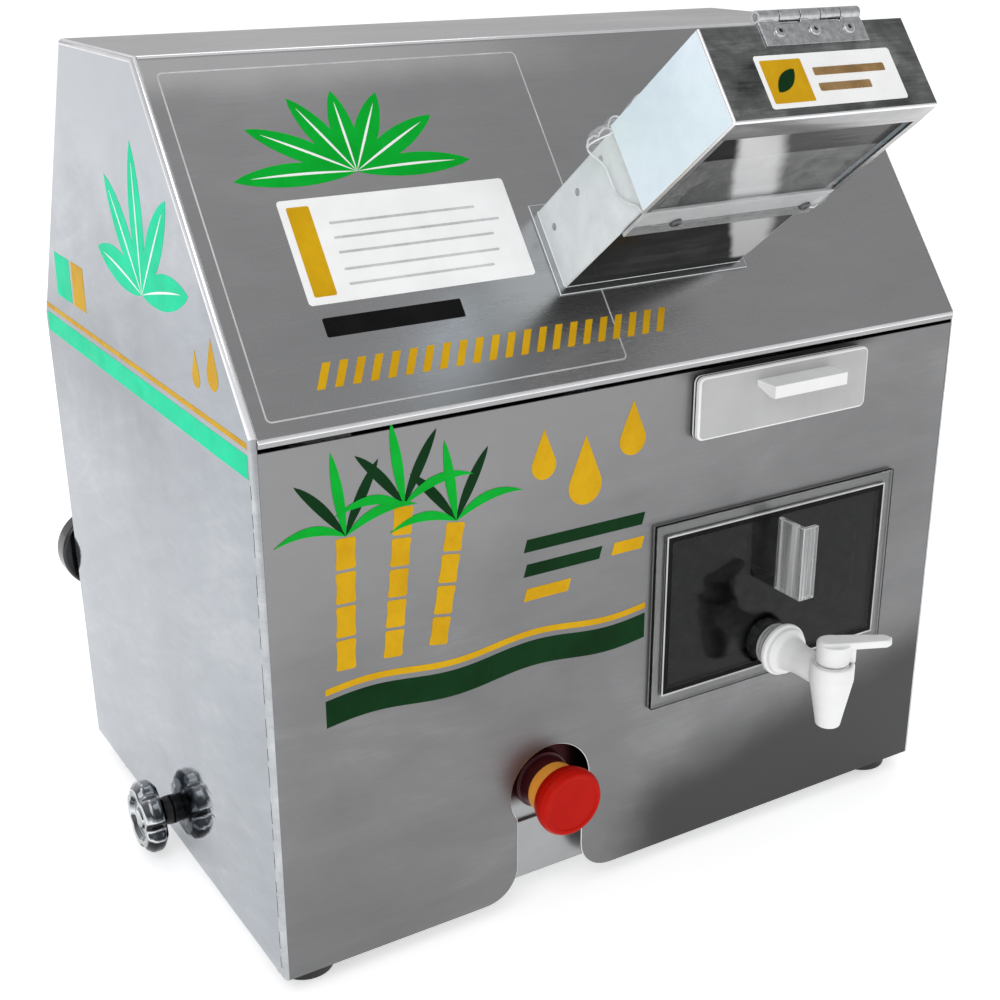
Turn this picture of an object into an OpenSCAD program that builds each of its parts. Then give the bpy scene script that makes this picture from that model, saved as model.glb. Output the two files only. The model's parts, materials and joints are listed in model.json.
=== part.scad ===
// Electric sugarcane juicer: a stainless cabinet that stands over a base tray.
// Inside, a motor turns three rollers through a belt and gears; the juice runs
// through a strainer drawer into a clear tank with a tap.
// Working frame: X to the right, Y from the front panel to the back, Z up from the floor.

/* [Cabinet] */
// Width over the side panels
cab_w = 450; // [430:1:480]
// Height of the front panel, from the skirt to the fold
front_h = 300; // [296:1:310]
// Height of the cabinet, from the skirt to the flat top
cab_h = 458; // [450:1:480]
// How far the sloping front leans back
slope_run = 122; // [116:1:128]
// Depth of the flat top
top_d = 117; // [100:1:130]
// Depth of the cabinet where the back is deepest
body_d = 324; // [318:1:345]
// Height of the kink in the back above the skirt
kink_h = 290; // [280:1:305]
// How far the back leans in at the skirt
foot_lean = 16; // [4:1:18]
// Height of the skirt above the floor
skirt_z = 11; // [9:0.5:12]
// Thickness of the cabinet's sheet
sheet = 1.2; // [0.9:0.1:1.5]

/* [Feed chute] */
// Middle of the chute across the cabinet
feed_x = 23.3; // [15:0.1:30]
// Width of the hood
hood_w = 122; // [118:1:124]
// Lower edge of the hood, measured up the slope
hood_s0 = 47; // [44:1:50]
// Height of the duct, measured up the slope
duct_h = 44; // [40:1:48]
// Length of the chute out of the slope
chute_len = 166.2; // [150:0.1:180]
// Length of the hood's side walls
hood_len = 79; // [70:1:84]
// Depth of the hood's front lip
hood_lip = 13; // [8:1:18]
// Length of the hinge
hinge_l = 61; // [50:1:70]
// Radius of the hinge's knuckles
hinge_r = 3; // [2.5:0.1:3.5]

/* [Mill] */
// Radius of a roller
roller_r = 26; // [24:0.5:27]
// Length of a roller's face
roller_len = 121; // [116:1:124]
// Gap between two rollers
nip = 2; // [1:0.5:3]
// Radius of a roller's shaft
shaft_r = 12; // [10:0.5:13]
// Thickness of the mill's plates
plate_t = 10; // [8:1:11]
// Teeth on a roller gear
gear_teeth = 18; // [18]
// Width of a roller gear
gear_w = 16; // [12:1:17]

/* [Drive] */
// Teeth on the main gear
main_teeth = 60; // [60]
// Teeth on the pinion
pinion_teeth = 12; // [12]
// Distance from the back roller to the pinion shaft
drive_dist = 90; // [86:1:92]
// Pitch radius of the large pulley
large_pitch_r = 84; // [80:1:88]
// Pitch radius of the motor pulley
small_pitch_r = 21; // [20:0.5:22]
// Radius of the motor's body
motor_r = 62; // [56:1:63]

/* [Drawer] */
// Middle of the drawer across the cabinet
drawer_x = 90; // [86:1:96]
// Width of the drawer's front
drawer_w = 122; // [116:1:128]
// Height of the drawer's front
drawer_h = 36; // [34:1:37]
// Depth of the drawer's tray
drawer_d = 150; // [130:1:156]

/* [Tank] */
// Share of the cabinet's width that the tank's box takes
tank_share = 0.36; // [0.33:0.005:0.365]
// Height of the tank's box
tank_h = 97; // [90:1:100]
// Depth of the tank's box
tank_d = 190; // [160:1:195]
// Wall of the tank
tank_wall = 3; // [2.5:0.1:4]
// Height of the tank above the skirt
tank_lift = 103; // [101:1:108]
// Height of the tap above the skirt
tap_lift = 115; // [114.5:0.5:118]

/* [Stop button] */
// Middle of the stop button across the cabinet
stop_x = -59.5; // [-70:0.5:-55]
// Height of the stop button above the skirt
stop_lift = 65; // [62:0.5:68]
// Radius of the button's head
stop_r = 20; // [18:0.5:21]
// Travel of the button
stop_travel = 5; // [3:0.5:5.5]

/* [Knobs and feet] */
// Radius of a side knob
knob_r = 22; // [20:0.5:23]
// Distance of the side knobs behind the front panel
knob_y = 166; // [140:1:190]
// Radius of the rear knob
rear_knob_r = 26; // [22:1:28]
// Radius of a foot
foot_r = 18.5; // [15:0.5:19]
// Height of the tray above the floor, which the feet fill
tray_z = 15; // [14:0.5:16]
// Radius of the cable gland's bore
gland_bore_r = 4; // [3:0.5:5]

/* [Hidden] */
$fn = 64;

// Colours of the finishes
steel = [0.74, 0.75, 0.76];
polished = [0.84, 0.85, 0.87];
dark_steel = [0.42, 0.43, 0.45];
bronze = [0.72, 0.52, 0.28];
white = [0.94, 0.94, 0.93];
clear = [0.82, 0.88, 0.9, 0.4];
black = [0.08, 0.08, 0.09];
red = [0.8, 0.1, 0.06];
yellow = [0.93, 0.7, 0.14];
motor_grey = [0.3, 0.34, 0.38];

// Clearances: a cut's overrun, a close seat, a sliding gap, a running fit and a press seat
over = 5;
fit_gap = 0.3;
run_gap = 0.5;
turn_gap = 0.05;
seat_gap = 0.02;

// Cabinet
fold_z = skirt_z + front_h;
top_z = skirt_z + cab_h;
in_w = cab_w - 2 * sheet;
slope_a = atan2(cab_h - front_h, slope_run);
back_y = body_d - foot_lean;
kink_z = skirt_z + kink_h;
rear_a = atan2(kink_h, foot_lean);
front_top = fold_z - sheet / cos(slope_a);
cover_lip = 5;
seam_gap = 0.3;
profile = [
    [0, skirt_z], [0, fold_z], [slope_run, top_z],
    [slope_run + top_d, top_z], [body_d, kink_z], [back_y, skirt_z]
];

// Stop button and its notch
stop_z = skirt_z + stop_lift;
notch_gap = 6;
slot_gap = 3;
notch_r = stop_r + notch_gap;
notch_w = 2 * stop_r + slot_gap;
flare_r = 20;
stop_neck_r = 11;
stop_stem_r = 6;
collar_r = 15.5;
collar_base_r = 17;
collar_base_t = 4;
neck_len = 12;
head_back_y = -8;
head_front_y = -24;
head_wall = 3;
head_dome = 4;
collar_lap = 3;
press_gap = 1;
collar_front_y = head_back_y - collar_lap;
head_socket = collar_lap + stop_travel + press_gap;
stem_grip = 4;
block_w = 36;
block_h = 42;
block_d = 44;
stem_tail = 22;

// Base tray and bracket
tray_t = 2;
tray_gap = 1;
tray_w = in_w - 2 * tray_gap;
tray_y0 = 10;
tray_back_gap = 5;
tray_rim = 37;
tray_y1 = back_y - sheet - tray_back_gap;
floor_z = tray_z + tray_t;
bracket_half_w = 45;
bracket_rise = 34;
bracket_top_z = stop_z + bracket_rise;
bracket_foot = 28;
bracket_y = tray_y0 + tray_t;
foot_low_share = 0.86;
foot_inset_y = 23;
foot_back_inset = 32;
foot_stud_r = 3;
foot_stud_len = 7;
foot_x = tray_w / 2 - foot_r - tray_gap;

// Knobs
knob_rise = 9;
knob_z = floor_z + knob_rise;
knob_t = 14;
knob_dome = 4;
knob_hub_r = 9;
knob_hub_t = 6.4;
knob_stud_r = 4;
knob_stud_len = 14;
knob_lobes = 5;
knob_scoop_r = 7;
knob_scoop_out = 3;
knob_scoop_at = knob_r + knob_scoop_out;
rear_knob_side = 18.8;
rear_knob_x = -in_w / 2 + rear_knob_side;
rear_knob_h = 125;
rear_knob_t = 15;
rear_knob_rim = 5;
rear_hub_r = 12;
rear_hub_t = 8;
gland_side = 73.8;
gland_x = -in_w / 2 + gland_side;
gland_h = 50;
gland_hex_r = 13;
gland_hex_t = 7;
gland_nose_r = 10;
gland_nose_t = 12;
gland_thread_r = 8;
gland_thread_len = 12;

// Reach of the whole object to the front and to the back, about which it is centred
rear_reach = back_y + rear_knob_h * cos(rear_a) + (rear_hub_t + rear_knob_t) * sin(rear_a)
    + rear_knob_r * cos(rear_a);
front_reach = hood_s0 * cos(slope_a) - chute_len * sin(slope_a);
mid_y = (rear_reach + front_reach) / 2;

// Feed chute, measured across, up the slope and out of it
sleeve_t = 1;
duct_w = hood_w - 2 * (sheet + run_gap + sleeve_t + fit_gap);
duct_s0 = hood_s0 + sheet + run_gap + sleeve_t + fit_gap;
duct_s1 = duct_s0 + duct_h;
duct_n0 = -5;
duct_end_gap = 5;
cap_n0 = chute_len - sheet;
duct_n1 = cap_n0 - duct_end_gap;
duct_flange = 4;
hood_n0 = chute_len - hood_len;
hinge_gap = 0.4;
hinge_bite = 0.2;
leaf_t = 1;
leaf_w = 14;
hinge_parts = 5;
hinge_pin_r = 1.5;
hinge_shift = 3.5;
hinge_x0 = feed_x - hinge_l / 2 + hinge_shift;
hinge_s = duct_s1 + leaf_t + hinge_r - hinge_bite;
hinge_n = chute_len;
knuckle_l = hinge_l / hinge_parts;
cap_s1 = duct_s1 - hinge_gap;
screw_r = 1.5;
screw_head_r = 3.2;
screw_head_t = 1.6;
screw_tail = 3;
hinge_screw_pitch = 20.6;
hinge_screw_in = 4.5;
hinge_screw_s = duct_s1 - hinge_screw_in;
sleeve_len = 60;
sleeve_drop = 17;
sleeve_n0 = hood_n0 - sleeve_drop;
strip_t = 2;
strip_drop = 24;
strip_n0 = hood_n0 - strip_drop;
strip_w = 118;
strip_screw_shares = [-0.285, 0.415];
strip_screw_drop = 14;
strip_screw_n = hood_n0 - strip_screw_drop;

// Mill: the rollers hang between two plates on a shelf
shelf_drop = 10;
shelf_t = 4;
shelf_y0 = 20;
shelf_z = fold_z - shelf_drop;
shelf_top = shelf_z + shelf_t;
roller_lift = 1;
mill_gap = 7.4;
mill_a_most = 54;
end_gap = 1;
roller_x0 = feed_x - roller_len / 2;
roller_x1 = feed_x + roller_len / 2;
left_x1 = roller_x0 - end_gap;
left_x0 = left_x1 - plate_t;
right_x0 = roller_x1 + end_gap;
right_x1 = right_x0 + plate_t;
pitch_c = 2 * roller_r + nip;
mill_z = shelf_top + roller_r + roller_lift;
front_p = [(roller_r + mill_gap + (mill_z - fold_z) * cos(slope_a)) / sin(slope_a), mill_z];
mill_a = min(slope_a, mill_a_most);
top_p = front_p + pitch_c * [cos(mill_a), sin(mill_a)];
back_p = front_p + [2 * pitch_c * cos(mill_a), 0];
bush_r = 16;
shaft_tail = 3;
groove_count = 12;
groove_depth = 1.5;
groove_share = 0.3;
plate_back = 41;
plate_back_y = back_p[0] + plate_back;
plate_front_gap = 6;
plate_rise = 2;
plate_shoulder = 18;
plate_top_z = top_p[1] + roller_r + plate_rise;
plate_shoulder_z = back_p[1] + plate_shoulder;
plate_s0 = 14;
plate_in = 4;
plate_y0 = shelf_y0 + plate_in;
shelf_edge = 3;
shelf_leg_in = 16;
shelf_side = 16;
shelf_foot = 10;
shelf_y1 = plate_back_y;
shelf_x1 = tray_w / 2 - shelf_side;
trash_top_w = 16;
trash_low_w = 10;
trash_gap = 3;
trash_h = 20;

// Gears and drive
gear_gap = 4;
gear_x1 = left_x0 - gear_gap;
gear_x0 = gear_x1 - gear_w;
main_x1 = gear_x0 - gear_gap;
main_w = 18;
main_x0 = main_x1 - main_w;
addendum_share = 0.8;
dedendum_share = 1.1;
tooth_root_share = 0.31;
tooth_tip_share = 0.1;
main_web_r_share = 0.8;
main_hub_r = 22;
main_web_cut = 5;
drive_angle = -30;
roller_mod = pitch_c / gear_teeth;
main_mod = 2 * drive_dist / (main_teeth + pinion_teeth);
drive_p = back_p + drive_dist * [cos(drive_angle), sin(drive_angle)];
drive_shaft_r = 10;
bearing_r = 17;
belt_t = 8;
belt_w = 9.2;
belt_gap = 0.4;
belt_lap = 2;
rim_lip = 0.6;
pulley_w = 22;
pulley_wall = 9;
pulley_hub_r = 24;
pulley_side = 18;
pulley_x0 = -in_w / 2 + pulley_side;
pulley_x1 = pulley_x0 + pulley_w;
pulley_mid = (pulley_x0 + pulley_x1) / 2;
drive_plate_gap = 24;
drive_plate_x0 = pulley_x1 + drive_plate_gap;
drive_plate_x1 = drive_plate_x0 + plate_t;
rod_r = 6;
rod_back = 45;
rod_low = 52;
rod_front = 52;
rod_edge = 15;
motor_y = 170;
motor_lift = 21;
motor_gap = 12;
motor_share = 0.3575;
motor_len = motor_share * in_w;
motor_p = [motor_y, floor_z + motor_r + motor_lift];
motor_x0 = pulley_x1 + motor_gap;
motor_x1 = motor_x0 + motor_len;
motor_shaft_r = 8;
motor_shaft_in = 60;
motor_rib = 3;
motor_rib_count = 9;
motor_bell_share = 0.82;
bell_len = 26;
capacitor_r = 16;
capacitor_len = 64;
cradle_w = 80;
cradle_half_d = 52;
cradle_h = 40;
leg_gap = 6;
leg_w = 24;
arch_gap = 26;
left_low_z = drive_p[1] - rod_low;

// Juice pan under the rollers, and the chute that takes the pressed cane out
pan_gap = 2;
pan_drop = 6;
pan_fall = 12;
pan_slot = 12;
pan_in = 10;
pan_y0 = shelf_y0 + pan_in;
pan_y1 = back_p[0] + roller_r;
pan_lip = 6;
chute_gap = 1.8;
chute_lead = 5;
chute_angle = 45;
chute_wall = 52;
chute_fall = 26;
chute_past = 14;
outlet_gap = 4;

// Drawer
drawer_lift = 254;
drawer_z0 = skirt_z + drawer_lift;
drawer_face_t = 5;
drawer_stand = 1;
drawer_corner = 4;
tray_inset = 6;
tray_h = 16;
tray_wall = 2;
tray_low = 3;
grip_shift = 5;
grip_x = drawer_x + grip_shift;
grip_w = 52;
grip_d = 15;
grip_t = 3;
grip_lip = 7;
grip_lip_t = 4;
grip_top = 7;
mesh_t = 0.8;
mesh_edge = 8;
mesh_hole_r = 3.2;
mesh_pitch = 11;
rail_t = 1.2;
rail_foot = 8;
rail_h = 18;
strap_w = 20;
strap_at_shares = [0.2, 0.7];
tray_x0 = drawer_x - drawer_w / 2 + tray_inset;
tray_x1 = drawer_x + drawer_w / 2 - tray_inset;
tray_bed_z = drawer_z0 + tray_low;

// Tank
tank_z = skirt_z + tank_lift;
tank_middle_share = 0.21224;
tank_x = tank_middle_share * in_w;
tank_w = tank_share * in_w;
tank_flange = 8;
tank_x0 = tank_x - tank_w / 2;
tank_x1 = tank_x + tank_w / 2;
tank_face_y = -fit_gap - tank_wall;
window_gap = 1;
platform_t = 2.2;
platform_over = 7;
pull_x = tank_x;
pull_t = 3;
pull_d = 22;
pull_h = 45;
pull_leg = 11;
pull_lift = 151;

// Tap
tap_x = tank_x;
tap_z = skirt_z + tap_lift;
tap_shank_r = 7;
tap_shank_in = 9;
tap_nut_r = 13;
tap_nut_t = 8;
tap_inner_nut_r = 8.6;
tap_inner_nut_t = 6;
tap_flange_r = 16;
tap_flange_t = 7;
tap_neck_r = 9;
tap_bore_r = 4.5;
tap_reach = 36;
tap_y = tank_face_y - tap_nut_t - tap_flange_t - tap_reach;
spout_low = 30;
spout_low_r = 7;
spout_r = 12.5;
spout_step = 4;
spout_top = 9.5;
chamber_r = 9;
chamber_low = 8;
chamber_top = 6.5;
seal_stem_r = 2.5;
lever_hub_r = 8.5;
lever_root_w = 20;
lever_tip_w = 11;
lever_back = 7;
lever_l = 38;
lever_t = 4.5;
lever_h = 14.2;
lever_angle = 27;
lever_z = tap_z + spout_top + fit_gap;
lever_tab = 3;
lever_tab_w = 6;

// Points of a bent sheet: the path of one face and the same path set off by the thickness
function unit(v) = v / norm(v);
function side_of(a, b) = let (d = unit(b - a)) [-d[1], d[0]];
function mitre(p, i, t) =
    let (
        before = i == 0 ? side_of(p[0], p[1]) : side_of(p[i - 1], p[i]),
        after = i == len(p) - 1 ? before : side_of(p[i], p[i + 1])
    )
    p[i] + t * (before + after) / (1 + before * after);
function sheet_outline(p, t) = concat(p, [for (i = [len(p) - 1 : -1 : 0]) mitre(p, i, t)]);

// Points of a gear with straight-sided teeth, the first tooth's middle at the given angle
function gear_points(teeth, module_mm, first) =
    let (
        pitch_r = teeth * module_mm / 2,
        root_r = pitch_r - dedendum_share * module_mm,
        tip_r = pitch_r + addendum_share * module_mm,
        shares = [-tooth_root_share, -tooth_tip_share, tooth_tip_share, tooth_root_share],
        radii = [root_r, tip_r, tip_r, root_r]
    )
    [for (i = [0 : teeth - 1], k = [0 : 3])
        let (a = first + 360 / teeth * (i + shares[k])) radii[k] * [cos(a), sin(a)]];

// Angles that put the gears in mesh
back_to_top = atan2(top_p[1] - back_p[1], top_p[0] - back_p[0]);
top_to_front = atan2(front_p[1] - top_p[1], front_p[0] - top_p[0]);
tooth_step = 360 / gear_teeth;
top_first = back_to_top + 180 + tooth_step / 2;
front_first = top_to_front + 180 - (top_first - top_to_front) + tooth_step / 2;
pinion_first = drive_angle + 180 + 180 / pinion_teeth;

// Placing: the working frame's origin under the middle of the whole object
module cab() translate([0, -mid_y, 0]) children();

// A flat outline in Y and Z drawn out along X, and one in X and Z drawn out along Y
module along_x(x0, x1) translate([x0, 0, 0]) rotate([90, 0, 90]) linear_extrude(x1 - x0) children();
module along_y(y0, y1) translate([0, y1, 0]) rotate([90, 0, 0]) linear_extrude(y1 - y0) children();

// A box between two corners, and round bars along X and Y
module block(low, high) translate(low) cube(high - low);
module rod_x(r, x0, x1, p) translate([x0, p[0], p[1]]) rotate([0, 90, 0]) cylinder(r = r, h = x1 - x0);
module rod_y(r, y0, y1, x, z) translate([x, y0, z]) rotate([-90, 0, 0]) cylinder(r = r, h = y1 - y0);

// On the slope: X across, Y up the slope, Z out of it
module on_slope() translate([0, 0, fold_z]) rotate([slope_a, 0, 0]) children();

// On the lower back: Z out of the panel, at a height measured along it
module on_rear(x, h)
    translate([x, back_y + h * cos(rear_a), skirt_z + h * sin(rear_a)])
        rotate([rear_a - 180, 0, 0]) children();

// Cabinet
module notch() {
    translate([stop_x, stop_z]) circle(notch_r);
    translate([stop_x - notch_w / 2, skirt_z - over]) square([notch_w, stop_lift + over]);
    for (side = [-1, 1])
        translate([stop_x + side * notch_w / 2, skirt_z])
            difference() {
                translate([side > 0 ? 0 : -flare_r, -over]) square([flare_r, flare_r + over]);
                translate([side * flare_r, flare_r]) circle(flare_r);
            }
}

module front_panel() color(steel) cab() difference() {
    block([-in_w / 2, 0, skirt_z], [in_w / 2, sheet, front_top]);
    along_y(-over, sheet + over) notch();
    block(
        [tank_x0 - window_gap, -over, tank_z - window_gap],
        [tank_x1 + window_gap, sheet + over, tank_z + tank_h + window_gap]
    );
    block(
        [tray_x0 - run_gap, -over, tray_bed_z - run_gap],
        [tray_x1 + run_gap, sheet + over, tray_bed_z + tray_h + run_gap]
    );
}

module slope_cover() color(steel) cab() difference() {
    along_x(-in_w / 2, in_w / 2) polygon(sheet_outline([
        [-sheet, fold_z - cover_lip], [-sheet, fold_z - sheet * tan(slope_a)],
        [slope_run, top_z], [slope_run + top_d, top_z]
    ], -sheet));
    on_slope() block(
        [feed_x - duct_w / 2 - fit_gap, duct_s0 - fit_gap, -over],
        [feed_x + duct_w / 2 + fit_gap, duct_s1 + fit_gap, over]
    );
}

module side_panel(x0) difference() {
    along_x(x0, x0 + sheet) polygon(profile);
    rod_x(knob_stud_r + run_gap, x0 - over, x0 + sheet + over, [knob_y, knob_z]);
}

module left_side_panel() color(steel) cab() side_panel(-cab_w / 2);
module right_side_panel() color(steel) cab() side_panel(in_w / 2);

// The chute's floor, from the back roller to past the back panel
chute_start = back_p + (roller_r + chute_gap) * [cos(chute_angle), sin(chute_angle)];
chute_end_z = chute_start[1] - chute_fall;
back_slant = (body_d - slope_run - top_d) / (top_z - kink_z);
chute_end_y = body_d - (chute_end_z - kink_z) * back_slant + chute_past;
chute_floor = [chute_start, [chute_end_y, chute_end_z]];

module rear_panel() color(steel) cab() difference() {
    top_corner = [slope_run + top_d, top_z];
    kink = [body_d, kink_z];
    down = unit(kink - top_corner);
    along_x(-in_w / 2, in_w / 2) polygon(sheet_outline([
        top_corner + down * (sheet + seam_gap) / -down[1], kink, [back_y, skirt_z]
    ], -sheet));
    block(
        [left_x1 - outlet_gap, slope_run + top_d, chute_end_z - outlet_gap],
        [right_x0 + outlet_gap, body_d + over, chute_end_z + chute_wall + 2 * outlet_gap]
    );
    on_rear(rear_knob_x, rear_knob_h) translate([0, 0, -over])
        cylinder(r = knob_stud_r + turn_gap, h = 2 * over);
    on_rear(gland_x, gland_h) translate([0, 0, -over])
        cylinder(r = gland_thread_r + seat_gap, h = 2 * over);
}

// Base
module base_tray() color(dark_steel) cab() difference() {
    block([-tray_w / 2, tray_y0, tray_z], [tray_w / 2, tray_y1, tray_z + tray_rim]);
    block(
        [-tray_w / 2 + tray_t, tray_y0 + tray_t, floor_z],
        [tray_w / 2 - tray_t, tray_y1 - tray_t, tray_z + tray_rim + over]
    );
    for (x = [-foot_x, foot_x], y = [foot_inset_y, tray_y1 - foot_back_inset])
        translate([x, y, tray_z - over]) cylinder(r = foot_stud_r + fit_gap, h = 2 * over);
    rod_x(knob_stud_r + turn_gap, -cab_w / 2, cab_w / 2, [knob_y, knob_z]);
}

module rubber_feet() color(black) cab()
    for (x = [-foot_x, foot_x], y = [foot_inset_y, tray_y1 - foot_back_inset])
        translate([x, y, 0]) rotate_extrude() polygon([
            [0, 0], [foot_r * foot_low_share, 0], [foot_r, tray_z], [foot_stud_r, tray_z],
            [foot_stud_r, floor_z + foot_stud_len], [0, floor_z + foot_stud_len]
        ]);

module switch_bracket() color(steel) cab() difference() {
    union() {
        block(
            [stop_x - bracket_half_w, bracket_y, floor_z],
            [stop_x + bracket_half_w, bracket_y + tray_t, bracket_top_z]
        );
        block(
            [stop_x - bracket_half_w, bracket_y, floor_z],
            [stop_x + bracket_half_w, bracket_y + bracket_foot, floor_z + tray_t]
        );
    }
    rod_y(stop_neck_r + seat_gap, bracket_y - over, bracket_y + over, stop_x, stop_z);
}

// Feed chute
module feed_duct() color(polished) cab() on_slope() difference() {
    union() {
        block([feed_x - duct_w / 2, duct_s0, duct_n0], [feed_x + duct_w / 2, duct_s1, duct_n1]);
        block(
            [feed_x - duct_w / 2 - duct_flange, duct_s0 - duct_flange, 0],
            [feed_x + duct_w / 2 + duct_flange, duct_s1 + duct_flange, sheet]
        );
    }
    block(
        [feed_x - duct_w / 2 + sheet, duct_s0 + sheet, duct_n0 - over],
        [feed_x + duct_w / 2 - sheet, duct_s1 - sheet, duct_n1 + over]
    );
    strip_bores(screw_r + seat_gap);
}

module strip_bores(r)
    for (share = strip_screw_shares)
        translate([feed_x + share * strip_w, duct_s0 - over, strip_screw_n])
            rotate([-90, 0, 0]) cylinder(r = r, h = 2 * over);

module feed_hood() color(polished) cab() on_slope() difference() {
    union() {
        block([feed_x - hood_w / 2, hood_s0, cap_n0], [feed_x + hood_w / 2, cap_s1, chute_len]);
        block(
            [feed_x - hood_w / 2, hood_s0, cap_n0 - hood_lip],
            [feed_x + hood_w / 2, hood_s0 + sheet, chute_len]
        );
        for (x = [feed_x - hood_w / 2, feed_x + hood_w / 2 - sheet])
            block([x, hood_s0, hood_n0], [x + sheet, cap_s1, chute_len]);
    }
    hinge_bores();
}

module at_hinge_screws()
    for (i = [-1 : 1])
        translate([hinge_x0 + hinge_l / 2 + i * hinge_screw_pitch, hinge_screw_s, chute_len]) children();

module hinge_bores()
    at_hinge_screws() translate([0, 0, -over]) cylinder(r = screw_r + seat_gap, h = 2 * over);

// Knuckles of one leaf, every second one from the first index
module knuckles(first, bore_r)
    for (i = [first : 2 : hinge_parts - 1])
        difference() {
            rod_x(hinge_r, knuckle_x(i), knuckle_x(i + 1) - hinge_gap, [hinge_s, hinge_n]);
            rod_x(bore_r, hinge_x0 - over, hinge_x0 + hinge_l + over, [hinge_s, hinge_n]);
        }

function knuckle_x(i) = hinge_x0 + i * knuckle_l;

module hinge_fixed_leaf() color(polished) cab() on_slope() {
    knuckles(1, hinge_pin_r + seat_gap);
    difference() {
        union() {
            block(
                [hinge_x0, duct_s1, hinge_n - hinge_r - leaf_w],
                [hinge_x0 + hinge_l, duct_s1 + leaf_t, hinge_n - hinge_r - hinge_gap]
            );
            for (i = [1 : 2 : hinge_parts - 1])
                block(
                    [knuckle_x(i), duct_s1, hinge_n - hinge_r - leaf_w],
                    [knuckle_x(i + 1) - hinge_gap, duct_s1 + leaf_t, hinge_n]
                );
        }
        rod_x(hinge_pin_r + seat_gap, hinge_x0, hinge_x0 + hinge_l, [hinge_s, hinge_n]);
    }
}

module hinge_moving_leaf() color(polished) cab() on_slope() {
    knuckles(0, hinge_pin_r + turn_gap);
    difference() {
        union() {
            block(
                [hinge_x0, cap_s1 - leaf_w + hinge_r, chute_len],
                [hinge_x0 + hinge_l, cap_s1 - hinge_bite, chute_len + leaf_t]
            );
            for (i = [0 : 2 : hinge_parts - 1])
                block(
                    [knuckle_x(i), cap_s1 - leaf_w + hinge_r, chute_len],
                    [knuckle_x(i + 1) - hinge_gap, hinge_s, chute_len + leaf_t]
                );
        }
        hinge_bores();
        rod_x(hinge_pin_r + turn_gap, hinge_x0, hinge_x0 + hinge_l, [hinge_s, hinge_n]);
    }
}

module hinge_pin() color(dark_steel) cab() on_slope()
    rod_x(hinge_pin_r, hinge_x0, hinge_x0 + hinge_l, [hinge_s, hinge_n]);

module pan_screw(tail) {
    cylinder(r = screw_head_r, h = screw_head_t);
    translate([0, 0, -tail]) cylinder(r = screw_r, h = tail);
}

module hinge_screws() color(dark_steel) cab() on_slope()
    at_hinge_screws() translate([0, 0, leaf_t]) pan_screw(screw_tail);

module clear_sleeve() color(clear) cab() on_slope() difference() {
    half_in = duct_w / 2 + fit_gap;
    half_out = half_in + sleeve_t;
    block(
        [feed_x - half_out, duct_s0 - fit_gap - sleeve_t, sleeve_n0],
        [feed_x + half_out, duct_s1 + fit_gap + sleeve_t, sleeve_n0 + sleeve_len]
    );
    block(
        [feed_x - half_in, duct_s0 - fit_gap, sleeve_n0 - over],
        [feed_x + half_in, duct_s1 + fit_gap, sleeve_n0 + sleeve_len + over]
    );
    strip_bores(screw_r + seat_gap);
}

strip_s1 = duct_s0 - fit_gap - sleeve_t;

module sleeve_strip() color(polished) cab() on_slope() difference() {
    block(
        [feed_x - strip_w / 2, strip_s1 - strip_t, strip_n0],
        [feed_x + strip_w / 2, strip_s1, hood_n0 - run_gap]
    );
    strip_bores(screw_r + seat_gap);
}

module sleeve_screws() color(dark_steel) cab() on_slope()
    for (share = strip_screw_shares)
        translate([feed_x + share * strip_w, strip_s1 - strip_t, strip_screw_n])
            rotate([90, 0, 0]) pan_screw(strip_t + sleeve_t + fit_gap + sheet + screw_tail);

// Mill: the upper outline that both plates share, from the front foot over the rollers to the back
plate_low = plate_front(plate_s0);
plate_high = plate_front((plate_top_z - fold_z + plate_front_gap * cos(slope_a)) / sin(slope_a));
function plate_front(s) = [0, fold_z] + s * [cos(slope_a), sin(slope_a)]
    + plate_front_gap * [sin(slope_a), -cos(slope_a)];
plate_crown = [
    plate_low, plate_high, [top_p[0] + roller_r, plate_top_z], [plate_back_y, plate_shoulder_z]
];

rod_points = [
    drive_p + [rod_back, rod_back],
    drive_p + [rod_back, -rod_low],
    drive_p + [-rod_front, -rod_low]
];

module roller_holes(x0, x1)
    for (p = [front_p, top_p, back_p]) rod_x(bush_r + seat_gap, x0 - over, x1 + over, p);

module left_frame_plate() color(dark_steel) cab() difference() {
    rear_y = drive_p[0] + rod_back + rod_edge;
    arch_y0 = motor_p[0] - motor_r - leg_gap;
    arch_y1 = motor_p[0] + motor_r + leg_gap;
    along_x(left_x0, left_x1) polygon(concat(plate_crown, [
        [rear_y, plate_shoulder_z], [rear_y, floor_z], [arch_y1, floor_z],
        [arch_y1, motor_p[1] + motor_r + arch_gap], [arch_y0, motor_p[1] + motor_r + arch_gap],
        [arch_y0, floor_z], [arch_y0 - leg_w, floor_z], [arch_y0 - leg_w, left_low_z],
        [plate_y0, left_low_z], [plate_y0, shelf_top]
    ]));
    roller_holes(left_x0, left_x1);
    rod_x(bearing_r + seat_gap, left_x0 - over, left_x1 + over, drive_p);
    for (p = rod_points) rod_x(rod_r + seat_gap, left_x0 - over, left_x1 + over, p);
}

module right_cheek() color(dark_steel) cab() difference() {
    along_x(right_x0, right_x1)
        polygon(concat(plate_crown, [[plate_back_y, shelf_top], [plate_y0, shelf_top]]));
    roller_holes(right_x0, right_x1);
}

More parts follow.
